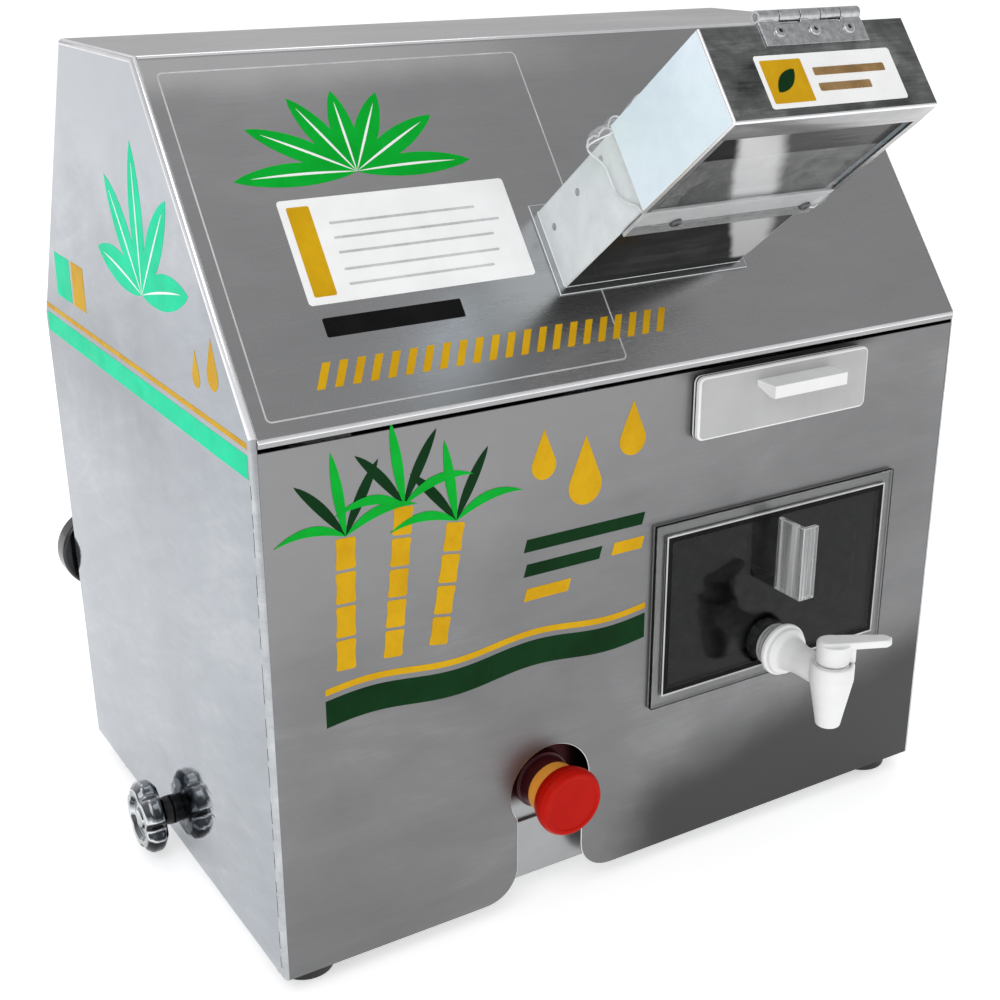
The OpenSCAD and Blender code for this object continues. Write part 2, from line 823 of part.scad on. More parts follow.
module mill_shelf() color(steel) cab() difference() {
    leg_y = shelf_y0 + shelf_leg_in;
    union() {
        block([left_x1, shelf_y0, shelf_z], [shelf_x1, shelf_y1, shelf_top]);
        block([shelf_x1 - shelf_t, leg_y, floor_z], [shelf_x1, shelf_y1, shelf_top]);
        block([shelf_x1 - shelf_t, leg_y, floor_z], [shelf_x1 + shelf_foot, shelf_y1, floor_z + shelf_t]);
    }
    block(
        [left_x1 + shelf_edge, pan_y0 - fit_gap, shelf_z - over],
        [right_x0 - shelf_edge, pan_y1 + fit_gap, shelf_top + over]
    );
}

module frame_rods() color(steel) cab()
    for (p = rod_points) rod_x(rod_r, drive_plate_x0, left_x1, p);

module roller_bushes() color(bronze) cab()
    for (x0 = [left_x0, right_x0], p = [front_p, top_p, back_p])
        difference() {
            rod_x(bush_r, x0, x0 + plate_t, p);
            rod_x(shaft_r + turn_gap, x0 - over, x0 + plate_t + over, p);
        }

// A grooved roller on its shaft, lying along X
module roller(p, left_end) translate([0, p[0], p[1]]) rotate([0, 90, 0]) {
    step = roller_len / groove_count;
    rotate_extrude() polygon(concat(
        [[0, roller_x0]],
        [for (i = [0 : groove_count - 1], k = [-1 : 1])
            [roller_r - (k == 0 ? groove_depth : 0), roller_x0 + step * (i + 0.5 + k * groove_share)]],
        [[roller_r, roller_x1], [0, roller_x1]]
    ));
    translate([0, 0, left_end]) cylinder(r = shaft_r, h = right_x1 + shaft_tail - left_end);
}

module top_roller() color(polished) cab() roller(top_p, gear_x0 - shaft_tail);
module front_roller() color(polished) cab() roller(front_p, gear_x0 - shaft_tail);
module back_roller() color(polished) cab() roller(back_p, main_x0 - shaft_tail);

module gear(p, teeth, module_mm, first, x0, x1, bore_r) difference() {
    along_x(x0, x1) translate(p) polygon(gear_points(teeth, module_mm, first));
    rod_x(bore_r + seat_gap, x0 - over, x1 + over, p);
}

module top_gear() color(dark_steel) cab()
    gear(top_p, gear_teeth, roller_mod, top_first, gear_x0, gear_x1, shaft_r);
module front_gear() color(dark_steel) cab()
    gear(front_p, gear_teeth, roller_mod, front_first, gear_x0, gear_x1, shaft_r);
module back_gear() color(dark_steel) cab()
    gear(back_p, gear_teeth, roller_mod, back_to_top, gear_x0, gear_x1, shaft_r);

module main_gear() color(dark_steel) cab() difference() {
    gear(back_p, main_teeth, main_mod, drive_angle, main_x0, main_x1, shaft_r);
    for (side = [main_x0 - over, main_x1 - main_web_cut])
        difference() {
            rod_x(main_web_r_share * main_teeth * main_mod / 2, side, side + main_web_cut + over, back_p);
            rod_x(main_hub_r, side - over, side + main_web_cut + 2 * over, back_p);
        }
}

module trash_plate() color(steel) cab() along_x(left_x1, right_x0) {
    z1 = top_p[1] - roller_r - trash_gap;
    polygon([
        [top_p[0] - trash_top_w / 2, z1], [top_p[0] - trash_low_w / 2, z1 - trash_h],
        [top_p[0] + trash_low_w / 2, z1 - trash_h], [top_p[0] + trash_top_w / 2, z1]
    ]);
}

// The pan's floor falls to the right, to a slot over the drawer
module juice_pan() color(polished) cab() {
    x0 = left_x1 + shelf_edge + pan_gap;
    x1 = right_x0 - shelf_edge - pan_gap;
    z1 = shelf_top;
    high = z1 - pan_drop;
    low = high - pan_fall;
    along_y(pan_y0, pan_y1) {
        polygon(sheet_outline([[x0, z1], [x0, high], [x1 - 2 * pan_slot, low]], sheet));
        polygon(sheet_outline([[x1 - pan_slot, low], [x1, high], [x1, z1]], sheet));
    }
    for (y = [pan_y0, pan_y1 - sheet])
        along_y(y, y + sheet)
            polygon([
                [x0, z1], [x0, high], [x1 - 2 * pan_slot, low],
                [x1 - pan_slot, low], [x1, high], [x1, z1]
            ]);
    for (y = [pan_y0 - pan_lip, pan_y1 - sheet])
        block([x0, y, z1], [x1, y + pan_lip + sheet, z1 + sheet]);
}

module bagasse_chute() color(polished) cab() {
    along_x(left_x1, right_x0) polygon(sheet_outline(chute_floor, -sheet));
    for (x = [left_x1, right_x0 - sheet])
        along_x(x, x + sheet) polygon(concat(chute_floor, [
            chute_floor[1] + [0, chute_wall], chute_floor[0] + [chute_lead, chute_wall]
        ]));
}

// Drive
module drive_plate() color(dark_steel) cab() difference() {
    low_y = drive_p[0] - rod_front - rod_edge;
    high_y = drive_p[0] + rod_back + rod_edge;
    low_z = drive_p[1] - rod_low - rod_edge;
    high_z = drive_p[1] + rod_back + rod_edge;
    along_x(drive_plate_x0, drive_plate_x1) polygon([
        [low_y, low_z], [high_y, low_z], [high_y, high_z],
        [drive_p[0] + bearing_r, high_z], [low_y, drive_p[1] - bearing_r]
    ]);
    rod_x(bearing_r + seat_gap, drive_plate_x0 - over, drive_plate_x1 + over, drive_p);
    for (p = rod_points) rod_x(rod_r + seat_gap, drive_plate_x0 - over, drive_plate_x1 + over, p);
}

module pinion_shaft() color(dark_steel) cab() {
    along_x(main_x0, main_x1) translate(drive_p)
        polygon(gear_points(pinion_teeth, main_mod, pinion_first));
    rod_x(drive_shaft_r, pulley_x0 - shaft_tail, left_x1, drive_p);
}

module shaft_bearings() color(polished) cab()
    for (x0 = [left_x0, drive_plate_x0])
        difference() {
            rod_x(bearing_r, x0, x0 + plate_t, drive_p);
            rod_x(drive_shaft_r + turn_gap, x0 - over, x0 + plate_t + over, drive_p);
        }

module pulley(p, pitch_r, bore_r) difference() {
    half = belt_w / 2 + belt_gap;
    rod_x(pitch_r + belt_t / 2 + rim_lip, pulley_x0, pulley_x1, p);
    difference() {
        rod_x(pitch_r + belt_t, pulley_mid - half, pulley_mid + half, p);
        rod_x(pitch_r - belt_t / 2 - belt_gap, pulley_x0 - over, pulley_x1 + over, p);
    }
    rod_x(bore_r + seat_gap, pulley_x0 - over, pulley_x1 + over, p);
}

module large_pulley() color(dark_steel) cab() difference() {
    pulley(drive_p, large_pitch_r, drive_shaft_r);
    for (side = [pulley_x0 - over, pulley_x1 - main_web_cut])
        difference() {
            rod_x(large_pitch_r - belt_t / 2 - pulley_wall, side, side + main_web_cut + over, drive_p);
            rod_x(pulley_hub_r, side - over, side + main_web_cut + 2 * over, drive_p);
        }
}

module motor_pulley() color(dark_steel) cab() pulley(motor_p, small_pitch_r, motor_shaft_r);

// The belt: an arc round each pulley, cut where it leaves, and the two straight runs
function toward(a) = [cos(a), sin(a)];
function fan(r, line, open) = r * [[0, 0], toward(line - open), toward(line), toward(line + open)];

module belt_ring(r) difference() {
    circle(r + belt_t / 2);
    circle(r - belt_t / 2);
}

module v_belt() color(black) cab() along_x(pulley_mid - belt_w / 2, pulley_mid + belt_w / 2) {
    span = motor_p - drive_p;
    line = atan2(span[1], span[0]);
    open = acos((large_pitch_r - small_pitch_r) / norm(span));
    translate(drive_p) difference() {
        belt_ring(large_pitch_r);
        polygon(fan(norm(span), line, open - belt_lap));
    }
    translate(motor_p) intersection() {
        belt_ring(small_pitch_r);
        polygon(fan(norm(span), line, open + belt_lap));
    }
    for (side = [-1, 1]) {
        half = side * belt_t / 2;
        out = toward(line + side * open);
        polygon([
            drive_p + (large_pitch_r + half) * out, drive_p + (large_pitch_r - half) * out,
            motor_p + (small_pitch_r - half) * out, motor_p + (small_pitch_r + half) * out
        ]);
    }
}

module motor_shaft() color(polished) cab()
    rod_x(motor_shaft_r, pulley_x0 - shaft_tail, motor_x0 + motor_shaft_in, motor_p);

module motor_body() color(motor_grey) cab() difference() {
    union() {
        rod_x(motor_r - motor_rib, motor_x0 + bell_len, motor_x1 - bell_len, motor_p);
        for (i = [0 : motor_rib_count - 1]) {
            x = motor_x0 + bell_len + i * (motor_len - 2 * bell_len - motor_rib) / (motor_rib_count - 1);
            rod_x(motor_r, x, x + motor_rib, motor_p);
        }
        translate([motor_x0, motor_p[0], motor_p[1]]) rotate([0, 90, 0])
            cylinder(r1 = motor_r * motor_bell_share, r2 = motor_r, h = bell_len);
        translate([motor_x1 - bell_len, motor_p[0], motor_p[1]]) rotate([0, 90, 0])
            cylinder(r1 = motor_r, r2 = motor_r * motor_bell_share, h = bell_len);
        rod_x(
            capacitor_r, left_x0 - leg_gap - capacitor_len, left_x0 - leg_gap,
            motor_p + [0, motor_r]
        );
    }
    rod_x(motor_shaft_r + turn_gap, motor_x0 - over, motor_x0 + motor_shaft_in + over, motor_p);
}

module motor_mount() color(dark_steel) cab() difference() {
    mid_x = (motor_x0 + motor_x1) / 2;
    block(
        [mid_x - cradle_w / 2, motor_p[0] - cradle_half_d, floor_z],
        [mid_x + cradle_w / 2, motor_p[0] + cradle_half_d, floor_z + cradle_h]
    );
    rod_x(motor_r + seat_gap, motor_x0, motor_x1, motor_p);
}

// Drawer
module drawer_tray() color(white) cab() difference() {
    block([tray_x0, -drawer_stand, tray_bed_z], [tray_x1, drawer_d, tray_bed_z + tray_h]);
    block(
        [tray_x0 + tray_wall, tray_wall, tray_bed_z + tray_wall],
        [tray_x1 - tray_wall, drawer_d - tray_wall, tray_bed_z + tray_h + over]
    );
    block(
        [tray_x0 + mesh_edge, mesh_edge, tray_bed_z - over],
        [tray_x1 - mesh_edge, drawer_d - mesh_edge, tray_bed_z + over]
    );
}

module drawer_front() color(white) cab() {
    z1 = drawer_z0 + drawer_h;
    grip_z = z1 - grip_top;
    face_y = -drawer_stand - drawer_face_t;
    along_y(face_y, -drawer_stand) {
        translate([drawer_x - drawer_w / 2 + drawer_corner, drawer_z0])
            square([drawer_w - 2 * drawer_corner, drawer_h]);
        translate([drawer_x - drawer_w / 2, drawer_z0 + drawer_corner])
            square([drawer_w, drawer_h - 2 * drawer_corner]);
        for (x = [-1, 1], z = [drawer_z0 + drawer_corner, z1 - drawer_corner])
            translate([drawer_x + x * (drawer_w / 2 - drawer_corner), z]) circle(drawer_corner);
    }
    along_x(grip_x - grip_w / 2, grip_x + grip_w / 2) polygon([
        [face_y, grip_z], [face_y - grip_d, grip_z],
        [face_y - grip_d, grip_z - grip_lip], [face_y - grip_d + grip_lip_t, grip_z - grip_lip],
        [face_y, grip_z - grip_t]
    ]);
}

module strainer_mesh() color(polished) cab() difference() {
    low_x = tray_x0 + tray_wall + run_gap;
    high_x = tray_x1 - tray_wall - run_gap;
    low_y = tray_wall + run_gap;
    high_y = drawer_d - tray_wall - run_gap;
    bed = tray_bed_z + tray_wall;
    block([low_x, low_y, bed], [high_x, high_y, bed + mesh_t]);
    columns = floor((high_x - low_x - 2 * mesh_edge) / mesh_pitch);
    rows = floor((high_y - low_y - 2 * mesh_edge) / mesh_pitch);
    for (i = [0 : columns], k = [0 : rows])
        translate([
            drawer_x + (i - columns / 2) * mesh_pitch,
            (low_y + high_y) / 2 + (k - rows / 2) * mesh_pitch, bed - over
        ]) cylinder(r = mesh_hole_r, h = 2 * over);
}

// Two rails under the tray on straps that reach from the left plate to a hanger under the shelf
module drawer_rails() color(steel) cab() {
    bed = tray_bed_z - fit_gap;
    left = tray_x0 - run_gap;
    right = tray_x1 + run_gap;
    along_y(sheet + run_gap, plate_back_y) {
        polygon(sheet_outline([[left, bed + rail_h], [left, bed], [left + rail_foot, bed]], -rail_t));
        polygon(sheet_outline([[right, shelf_z], [right, bed], [right - rail_foot, bed]], rail_t));
    }
    for (share = strap_at_shares)
        block(
            [left_x1, share * plate_back_y, bed - 2 * rail_t],
            [right + rail_t, share * plate_back_y + strap_w, bed - rail_t]
        );
}

// Tank
module juice_tank() color(clear) cab() difference() {
    union() {
        block([tank_x0, tank_face_y, tank_z], [tank_x1, tank_d, tank_z + tank_h]);
        block(
            [tank_x0 - tank_flange, tank_face_y, tank_z - tank_flange],
            [tank_x1 + tank_flange, -fit_gap, tank_z + tank_h + tank_flange]
        );
    }
    block(
        [tank_x0 + tank_wall, -fit_gap, tank_z + tank_wall],
        [tank_x1 - tank_wall, tank_d - tank_wall, tank_z + tank_h + over]
    );
    rod_y(tap_shank_r + seat_gap, tank_face_y - over, over, tap_x, tap_z);
}

module tank_pull() color(clear) cab() {
    z0 = skirt_z + pull_lift;
    x0 = pull_x - pull_t / 2;
    y0 = tank_face_y - pull_d;
    block([x0, y0, z0], [x0 + pull_t, tank_face_y, z0 + pull_h]);
    block([x0, y0, z0], [x0 + pull_leg, y0 + pull_t, z0 + pull_h]);
}

module tank_platform() color(steel) cab()
    along_y(bracket_y + fit_gap, tank_d + platform_over) polygon(sheet_outline([
        [tank_x0 - platform_over, floor_z], [tank_x0 - platform_over, tank_z - fit_gap],
        [tank_x1 + platform_over, tank_z - fit_gap], [tank_x1 + platform_over, floor_z]
    ], -platform_t));

// Tap
module tap_body() color(white) cab() difference() {
    flange_y = tank_face_y - tap_nut_t;
    union() {
        rod_y(tap_shank_r, flange_y, tap_shank_in, tap_x, tap_z);
        rod_y(tap_flange_r, flange_y - tap_flange_t, flange_y, tap_x, tap_z);
        rod_y(tap_neck_r, tap_y, flange_y - tap_flange_t, tap_x, tap_z);
        translate([tap_x, tap_y, tap_z]) rotate_extrude() polygon([
            [0, -spout_low], [spout_low_r, -spout_low], [spout_r, -spout_step],
            [spout_r, spout_top], [0, spout_top]
        ]);
    }
    translate([tap_x, tap_y, tap_z - spout_low - over]) cylinder(r = tap_bore_r, h = spout_low + over);
    translate([tap_x, tap_y, tap_z - chamber_low]) cylinder(r = chamber_r, h = chamber_top + chamber_low);
    translate([tap_x, tap_y, tap_z]) cylinder(r = seal_stem_r + turn_gap, h = spout_top + over);
    rod_y(tap_bore_r, tap_y, tap_shank_in + over, tap_x, tap_z);
}

module tap_nuts() color(dark_steel) cab() difference() {
    union() {
        rod_y(tap_nut_r, tank_face_y - tap_nut_t, tank_face_y, tap_x, tap_z);
        rod_y(tap_inner_nut_r, -fit_gap, tap_inner_nut_t, tap_x, tap_z);
    }
    rod_y(tap_shank_r + seat_gap, tank_face_y - tap_nut_t - over, tap_inner_nut_t + over, tap_x, tap_z);
}

// Quarter-turn lever: a boss under a tapered paddle, with a tab that runs over the body's rim
module tap_lever() color(white) cab() translate([tap_x, tap_y, lever_z]) rotate([0, 0, -lever_angle]) {
    cylinder(r = lever_hub_r, h = lever_h - lever_t / 2);
    translate([0, 0, lever_h - lever_t]) linear_extrude(lever_t) polygon([
        [-lever_back, -lever_root_w / 2], [lever_l, -lever_tip_w / 2],
        [lever_l, lever_tip_w / 2], [-lever_back, lever_root_w / 2]
    ]);
    block(
        [spout_r - lever_tab, -lever_tab_w / 2, fit_gap],
        [spout_r, lever_tab_w / 2, lever_h - lever_t / 2]
    );
}

// Plug of the tap, whose side port faces the neck once the lever is turned
module tap_seal() color(polished) cab() translate([tap_x, tap_y, tap_z]) difference() {
    union() {
        translate([0, 0, fit_gap - chamber_low])
            cylinder(r = chamber_r - turn_gap, h = chamber_low + chamber_top - 2 * fit_gap);
        cylinder(r = seal_stem_r, h = spout_top + fit_gap);
    }
    translate([0, 0, -chamber_low]) cylinder(r = tap_bore_r, h = chamber_low);
    rod_x(tap_bore_r, -chamber_r - over, 0, [0, 0]);
}

// Stop button
module stop_collar() color(yellow) cab() difference() {
    union() {
        rod_y(collar_r, collar_front_y, bracket_y, stop_x, stop_z);
        rod_y(collar_base_r, bracket_y - collar_base_t, bracket_y, stop_x, stop_z);
        rod_y(stop_neck_r, bracket_y, bracket_y + tray_t + neck_len, stop_x, stop_z);
    }
    rod_y(
        stop_stem_r + turn_gap, collar_front_y - over,
        bracket_y + tray_t + neck_len + over, stop_x, stop_z
    );
}

module stop_block() color(black) cab() difference() {
    y0 = bracket_y + tray_t;
    block(
        [stop_x - block_w / 2, y0, stop_z - block_h / 2],
        [stop_x + block_w / 2, y0 + block_d, stop_z + block_h / 2]
    );
    rod_y(stop_neck_r + seat_gap, y0 - over, y0 + neck_len + seat_gap, stop_x, stop_z);
    rod_y(stop_stem_r + run_gap, y0, y0 + neck_len + stem_tail, stop_x, stop_z);
}

module stop_stem() color(dark_steel) cab()
    rod_y(
        stop_stem_r, head_back_y - head_socket - stem_grip,
        bracket_y + tray_t + neck_len + stem_tail / 2, stop_x, stop_z
    );

module stop_head() color(red) cab() translate([stop_x, head_back_y, stop_z]) rotate([90, 0, 0]) {
    hole_r = stop_stem_r + turn_gap;
    hole_end = head_socket + stem_grip + fit_gap;
    front = head_back_y - head_front_y;
    rotate_extrude() polygon([
        [hole_r, head_socket], [stop_r - head_wall, head_socket],
        [stop_r - head_wall, 0], [stop_r, 0], [stop_r, front - head_dome],
        [stop_r - head_dome, front], [0, front], [0, hole_end], [hole_r, hole_end]
    ]);
}

// Knobs: Z out of the panel, the stud behind it
module star_knob() {
    difference() {
        translate([0, 0, knob_hub_t]) rotate_extrude() polygon([
            [0, 0], [knob_r, 0], [knob_r, knob_t - knob_dome], [knob_r - knob_dome, knob_t], [0, knob_t]
        ]);
        for (i = [0 : knob_lobes - 1])
            rotate([0, 0, 360 / knob_lobes * i]) translate([knob_scoop_at, 0, knob_hub_t - over])
                cylinder(r = knob_scoop_r, h = knob_t + 2 * over);
    }
    translate([0, 0, fit_gap]) cylinder(r = knob_hub_r, h = knob_hub_t);
    translate([0, 0, -knob_stud_len]) cylinder(r = knob_stud_r, h = knob_stud_len + knob_hub_t);
}

module left_knob() color(polished) cab()
    translate([-cab_w / 2, knob_y, knob_z]) rotate([0, -90, 0]) star_knob();
module right_knob() color(polished) cab()
    translate([cab_w / 2, knob_y, knob_z]) rotate([0, 90, 0]) star_knob();

module rear_knob() color(black) cab() on_rear(rear_knob_x, rear_knob_h) {
    rotate_extrude() polygon([
        [0, fit_gap], [rear_hub_r, fit_gap], [rear_hub_r, rear_hub_t], [rear_knob_r, rear_hub_t],
        [rear_knob_r, rear_hub_t + rear_knob_t], [rear_knob_r - rear_knob_rim, rear_hub_t + rear_knob_t],
        [rear_knob_r - 2 * rear_knob_rim, rear_hub_t + rear_knob_t - rear_knob_rim],
        [0, rear_hub_t + rear_knob_t - rear_knob_rim]
    ]);
    translate([0, 0, -knob_stud_len]) cylinder(r = knob_stud_r, h = knob_stud_len + rear_hub_t);
}

module cable_gland() color(black) cab() on_rear(gland_x, gland_h) difference() {
    union() {
        cylinder(r = gland_hex_r, h = gland_hex_t, $fn = 6);
        cylinder(r = gland_nose_r, h = gland_hex_t + gland_nose_t);
        translate([0, 0, -gland_thread_len]) cylinder(r = gland_thread_r, h = gland_thread_len);
    }
    translate([0, 0, -gland_thread_len - over])
        cylinder(r = gland_bore_r, h = gland_thread_len + gland_hex_t + gland_nose_t + 2 * over);
}

front_panel();
slope_cover();
left_side_panel();
right_side_panel();
rear_panel();
base_tray();
rubber_feet();
switch_bracket();
feed_duct();
feed_hood();
hinge_fixed_leaf();
hinge_moving_leaf();
hinge_pin();
hinge_screws();
clear_sleeve();
sleeve_strip();
sleeve_screws();
left_frame_plate();
right_cheek();
mill_shelf();
frame_rods();
roller_bushes();
top_roller();
front_roller();
back_roller();
top_gear();
front_gear();
back_gear();
main_gear();
trash_plate();
juice_pan();
bagasse_chute();
drive_plate();
pinion_shaft();
shaft_bearings();
large_pulley();
v_belt();
motor_pulley();
motor_shaft();
motor_body();
motor_mount();
drawer_tray();
drawer_front();
strainer_mesh();
drawer_rails();
juice_tank();
tank_pull();
tank_platform();
tap_body();
tap_nuts();
tap_lever();
tap_seal();
stop_head();
stop_stem();
stop_collar();
stop_block();
left_knob();
right_knob();
rear_knob();
cable_gland();
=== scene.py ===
import json
import math

import bmesh
import bpy
from mathutils import Matrix, Vector


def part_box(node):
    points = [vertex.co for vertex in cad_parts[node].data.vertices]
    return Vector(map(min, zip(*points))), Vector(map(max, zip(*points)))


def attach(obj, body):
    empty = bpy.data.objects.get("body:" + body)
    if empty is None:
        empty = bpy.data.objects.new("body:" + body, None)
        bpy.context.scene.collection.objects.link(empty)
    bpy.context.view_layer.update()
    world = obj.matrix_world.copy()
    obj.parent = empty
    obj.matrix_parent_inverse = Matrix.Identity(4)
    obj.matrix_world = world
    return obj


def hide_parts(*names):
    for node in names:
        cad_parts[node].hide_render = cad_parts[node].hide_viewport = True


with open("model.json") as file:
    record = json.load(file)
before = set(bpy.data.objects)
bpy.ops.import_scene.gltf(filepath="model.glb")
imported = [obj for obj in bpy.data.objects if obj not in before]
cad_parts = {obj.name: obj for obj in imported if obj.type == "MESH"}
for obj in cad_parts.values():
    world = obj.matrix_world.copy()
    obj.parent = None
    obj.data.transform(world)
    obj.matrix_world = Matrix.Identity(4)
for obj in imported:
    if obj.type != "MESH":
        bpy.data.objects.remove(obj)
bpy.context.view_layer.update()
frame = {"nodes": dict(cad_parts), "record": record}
scene = bpy.context.scene
cadNodes = frame["nodes"]
behaviour = frame["record"]["behaviour"]
bodyOf = {node: body for body, members in behaviour["bodies"].items() for node in members}
slotOf = {part["node"]: part["material_slot"] for part in frame["record"]["subparts"]}
print("frame loaded with", len(cadNodes), "nodes")

# Places on the cabinet in millimetres: x across, y back from the front face, z up from the floor
mm = 0.001
cabinet = {
    "half": 225.0, "seam": 222.0, "foldHeight": 311.0, "slopeRun": 122.0, "slopeRise": 158.0,
    "topDepth": 117.0, "kink": (324.0, 301.0), "foot": (308.0, 11.0), "skin": 1.2,
}
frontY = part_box("front_panel")[0].y
slopeAngle = math.atan2(cabinet["slopeRise"], cabinet["slopeRun"])
upSlope = Vector((0, math.cos(slopeAngle), math.sin(slopeAngle)))
chuteAxis = Vector((0, -math.sin(slopeAngle), math.cos(slopeAngle)))
foldLine = Vector((0, 0, cabinet["foldHeight"]))
inCabinet = Matrix.Translation((0, frontY, 0)) @ Matrix.Scale(mm, 4)
onSlope = inCabinet @ Matrix.Translation(foldLine) @ Matrix.Rotation(slopeAngle, 4, "X")
facingFront = Matrix.Rotation(math.radians(90), 4, "X")
onFront = inCabinet @ facingFront
facingLeft = Matrix(((0, 0, -1, 0), (-1, 0, 0, 0), (0, 1, 0, 0), (0, 0, 0, 1)))
onLeft = inCabinet @ Matrix.Translation((-cabinet["half"], 0, 0)) @ facingLeft


# Shapes

def softened(corners, radii, closed=True, steps=6):
    # An outline with each corner turned into an arc of its own radius
    count = len(corners)
    radii = radii if isinstance(radii, (list, tuple)) else [radii] * count
    outline = []
    for i, corner in enumerate(corners):
        here = Vector((*corner, 0))
        atEnd = not closed and i in (0, count - 1)
        if atEnd or radii[i] <= 0:
            outline.append(tuple(corner))
            continue
        before = (Vector((*corners[i - 1], 0)) - here).normalized()
        after = (Vector((*corners[(i + 1) % count], 0)) - here).normalized()
        half = before.angle(after) / 2
        centre = here + (before + after).normalized() * (radii[i] / math.sin(half))
        start = here + before * (radii[i] / math.tan(half)) - centre
        end = here + after * (radii[i] / math.tan(half)) - centre
        for k in range(steps + 1):
            spoke = start.slerp(end, k / steps).normalized() * radii[i]
            outline.append(tuple((centre + spoke).xy))
    return outline


def fullTurn(steps):
    return [2 * math.pi * k / steps for k in range(steps)]


def boxOutline(u0, v0, u1, v1, radius, steps=6):
    return softened([(u0, v0), (u1, v0), (u1, v1), (u0, v1)], radius, steps=steps)


def paint(faces, index):
    for face in faces:
        face.material_index = index


def addPrism(form, outline, low, high, index=0):
    bottom = [form.verts.new((u, v, low)) for u, v in outline]
    top = [form.verts.new((u, v, high)) for u, v in outline]
    made = [form.faces.new(bottom[::-1]), form.faces.new(top)]
    for i in range(len(outline)):
        made.append(form.faces.new((bottom[i - 1], bottom[i], top[i], top[i - 1])))
    paint(made, index)
    return made


def joinLoops(form, loops, index=0):
    # Faces between each loop and the next, all of equal count
    for low, high in zip(loops, loops[1:]):
        for k in range(len(low)):
            form.faces.new((low[k - 1], low[k], high[k], high[k - 1])).material_index = index


def addLoft(form, rings, indexes, capIndexes):
    # Joins rings of points, bottom first, and closes both ends
    loops = [[form.verts.new(spot) for spot in ring] for ring in rings]
    for low, high, index in zip(loops, loops[1:], indexes):
        joinLoops(form, [low, high], index)
    form.faces.new(loops[0][::-1]).material_index = capIndexes[0]
    form.faces.new(loops[-1]).material_index = capIndexes[1]


def addTurned(form, profile, place=None, steps=64, index=0, scoops=None):
    # Spins a profile of (radius, height) round Z, closed where the radius is zero
    # scoops are (count, depth, reach) of the hollows in the rim
    def pulledIn(radius, angle):
        if not scoops:
            return radius
        count, depth, reach = scoops
        return radius - depth * min(1.0, radius / reach) ** 3 * max(0.0, math.cos(count * angle)) ** 1.5

    rings = []
    for radius, height in profile:
        if radius < 1e-6:
            rings.append([form.verts.new((0, 0, height))])
            continue
        ring = []
        for a in fullTurn(steps):
            reach = pulledIn(radius, a)
            ring.append(form.verts.new((reach * math.cos(a), reach * math.sin(a), height)))
        rings.append(ring)
    for low, high in zip(rings, rings[1:]):
        for k in range(steps):
            after = k + 1
            loop = [low[k % len(low)], low[after % len(low)], high[after % len(high)], high[k % len(high)]]
            loop = list(dict.fromkeys(loop))
            if len(loop) > 2:
                form.faces.new(loop).material_index = index
    if place:
        bmesh.ops.transform(form, matrix=place, verts=[v for ring in rings for v in ring])


def copyOf(node):
    # A merged copy of a node in cabinet millimetres, with its flat faces joined up
    form = bmesh.new()
    form.from_mesh(cadNodes[node].data)
    bmesh.ops.transform(form, matrix=inCabinet.inverted(), verts=form.verts)
    bmesh.ops.remove_doubles(form, verts=form.verts, dist=0.002)
    bmesh.ops.dissolve_limit(form, angle_limit=math.radians(0.3), verts=form.verts, edges=form.edges)
    return form


def roundOff(form, edges, width, segments, slide=False):
    rounded = bmesh.ops.bevel(
        form, geom=edges, offset=width, offset_type="OFFSET", segments=segments, profile=0.5,
        affect="EDGES", clamp_overlap=False, loop_slide=slide,
    )
    return rounded["faces"]


def softEdges(form, width, segments=2, least=35.0, chosen=None, index=None):
    # Rounds the edges sharper than the least angle; index is for the faces that this makes
    edges = [
        edge for edge in form.edges
        if len(edge.link_faces) == 2 and edge.calc_face_angle() > math.radians(least)
        and (chosen is None or chosen(edge))
    ]
    faces = roundOff(form, edges, width, segments, slide=True)
    if index is not None:
        paint(faces, index)


def cutThrough(form, spot, facing):
    everything = form.verts[:] + form.edges[:] + form.faces[:]
    bmesh.ops.bisect_plane(form, geom=everything, plane_co=spot, plane_no=facing)


def withModifiers(made, *kinds):
    # Adds modifiers as (type, settings), applies them all and leaves a plain mesh
    for kind, settings in kinds:
        modifier = made.modifiers.new(kind.lower(), kind)
        for key, value in settings.items():
            setattr(modifier, key, value)
    graph = bpy.context.evaluated_depsgraph_get()
    mesh = bpy.data.meshes.new_from_object(made.evaluated_get(graph))
    made.modifiers.clear()
    old = made.data
    made.data = mesh
    bpy.data.meshes.remove(old)
    mesh.name = made.name


def shadeSmooth(made, smooth):
    made.data.polygons.foreach_set("use_smooth", [True] * len(made.data.polygons))
    made.data.set_sharp_from_angle(angle=math.radians(smooth))


def settle(made, body, stands, slot):
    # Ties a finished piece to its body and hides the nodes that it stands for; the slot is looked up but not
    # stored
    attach(made, body)
    if stands:
        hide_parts(*stands)
        slot = slot or slotOf[stands[0]]


def makePiece(name, form, finish, body, stands=(), slot=None, place=inCabinet, smooth=38.0, finishing=()):
    finishes = finish if isinstance(finish, (list, tuple)) else [finish]
    bmesh.ops.recalc_face_normals(form, faces=form.faces)
    bmesh.ops.transform(form, matrix=place, verts=form.verts)
    mesh = bpy.data.meshes.new(name)
    form.to_mesh(mesh)
    form.free()
    for one in finishes:
        mesh.materials.append(one)
    made = bpy.data.objects.new(name, mesh)
    scene.collection.objects.link(made)
    if finishing:
        withModifiers(made, *finishing)
    shadeSmooth(made, smooth)
    withModifiers(made, ("WEIGHTED_NORMAL", {"keep_sharp": True, "weight": 80}))
    settle(made, body, stands, slot)


def softPiece(node, finish, width, segments=2, least=35.0):
    form = copyOf(node)
    softEdges(form, width, segments, least)
    makePiece(node + "_finished", form, finish, bodyOf[node], stands=(node,))


# Finishes

def triple(value):
    # One number stands for three alike, as in a grey or an even scale
    return (value,) * 3 if isinstance(value, float) else value


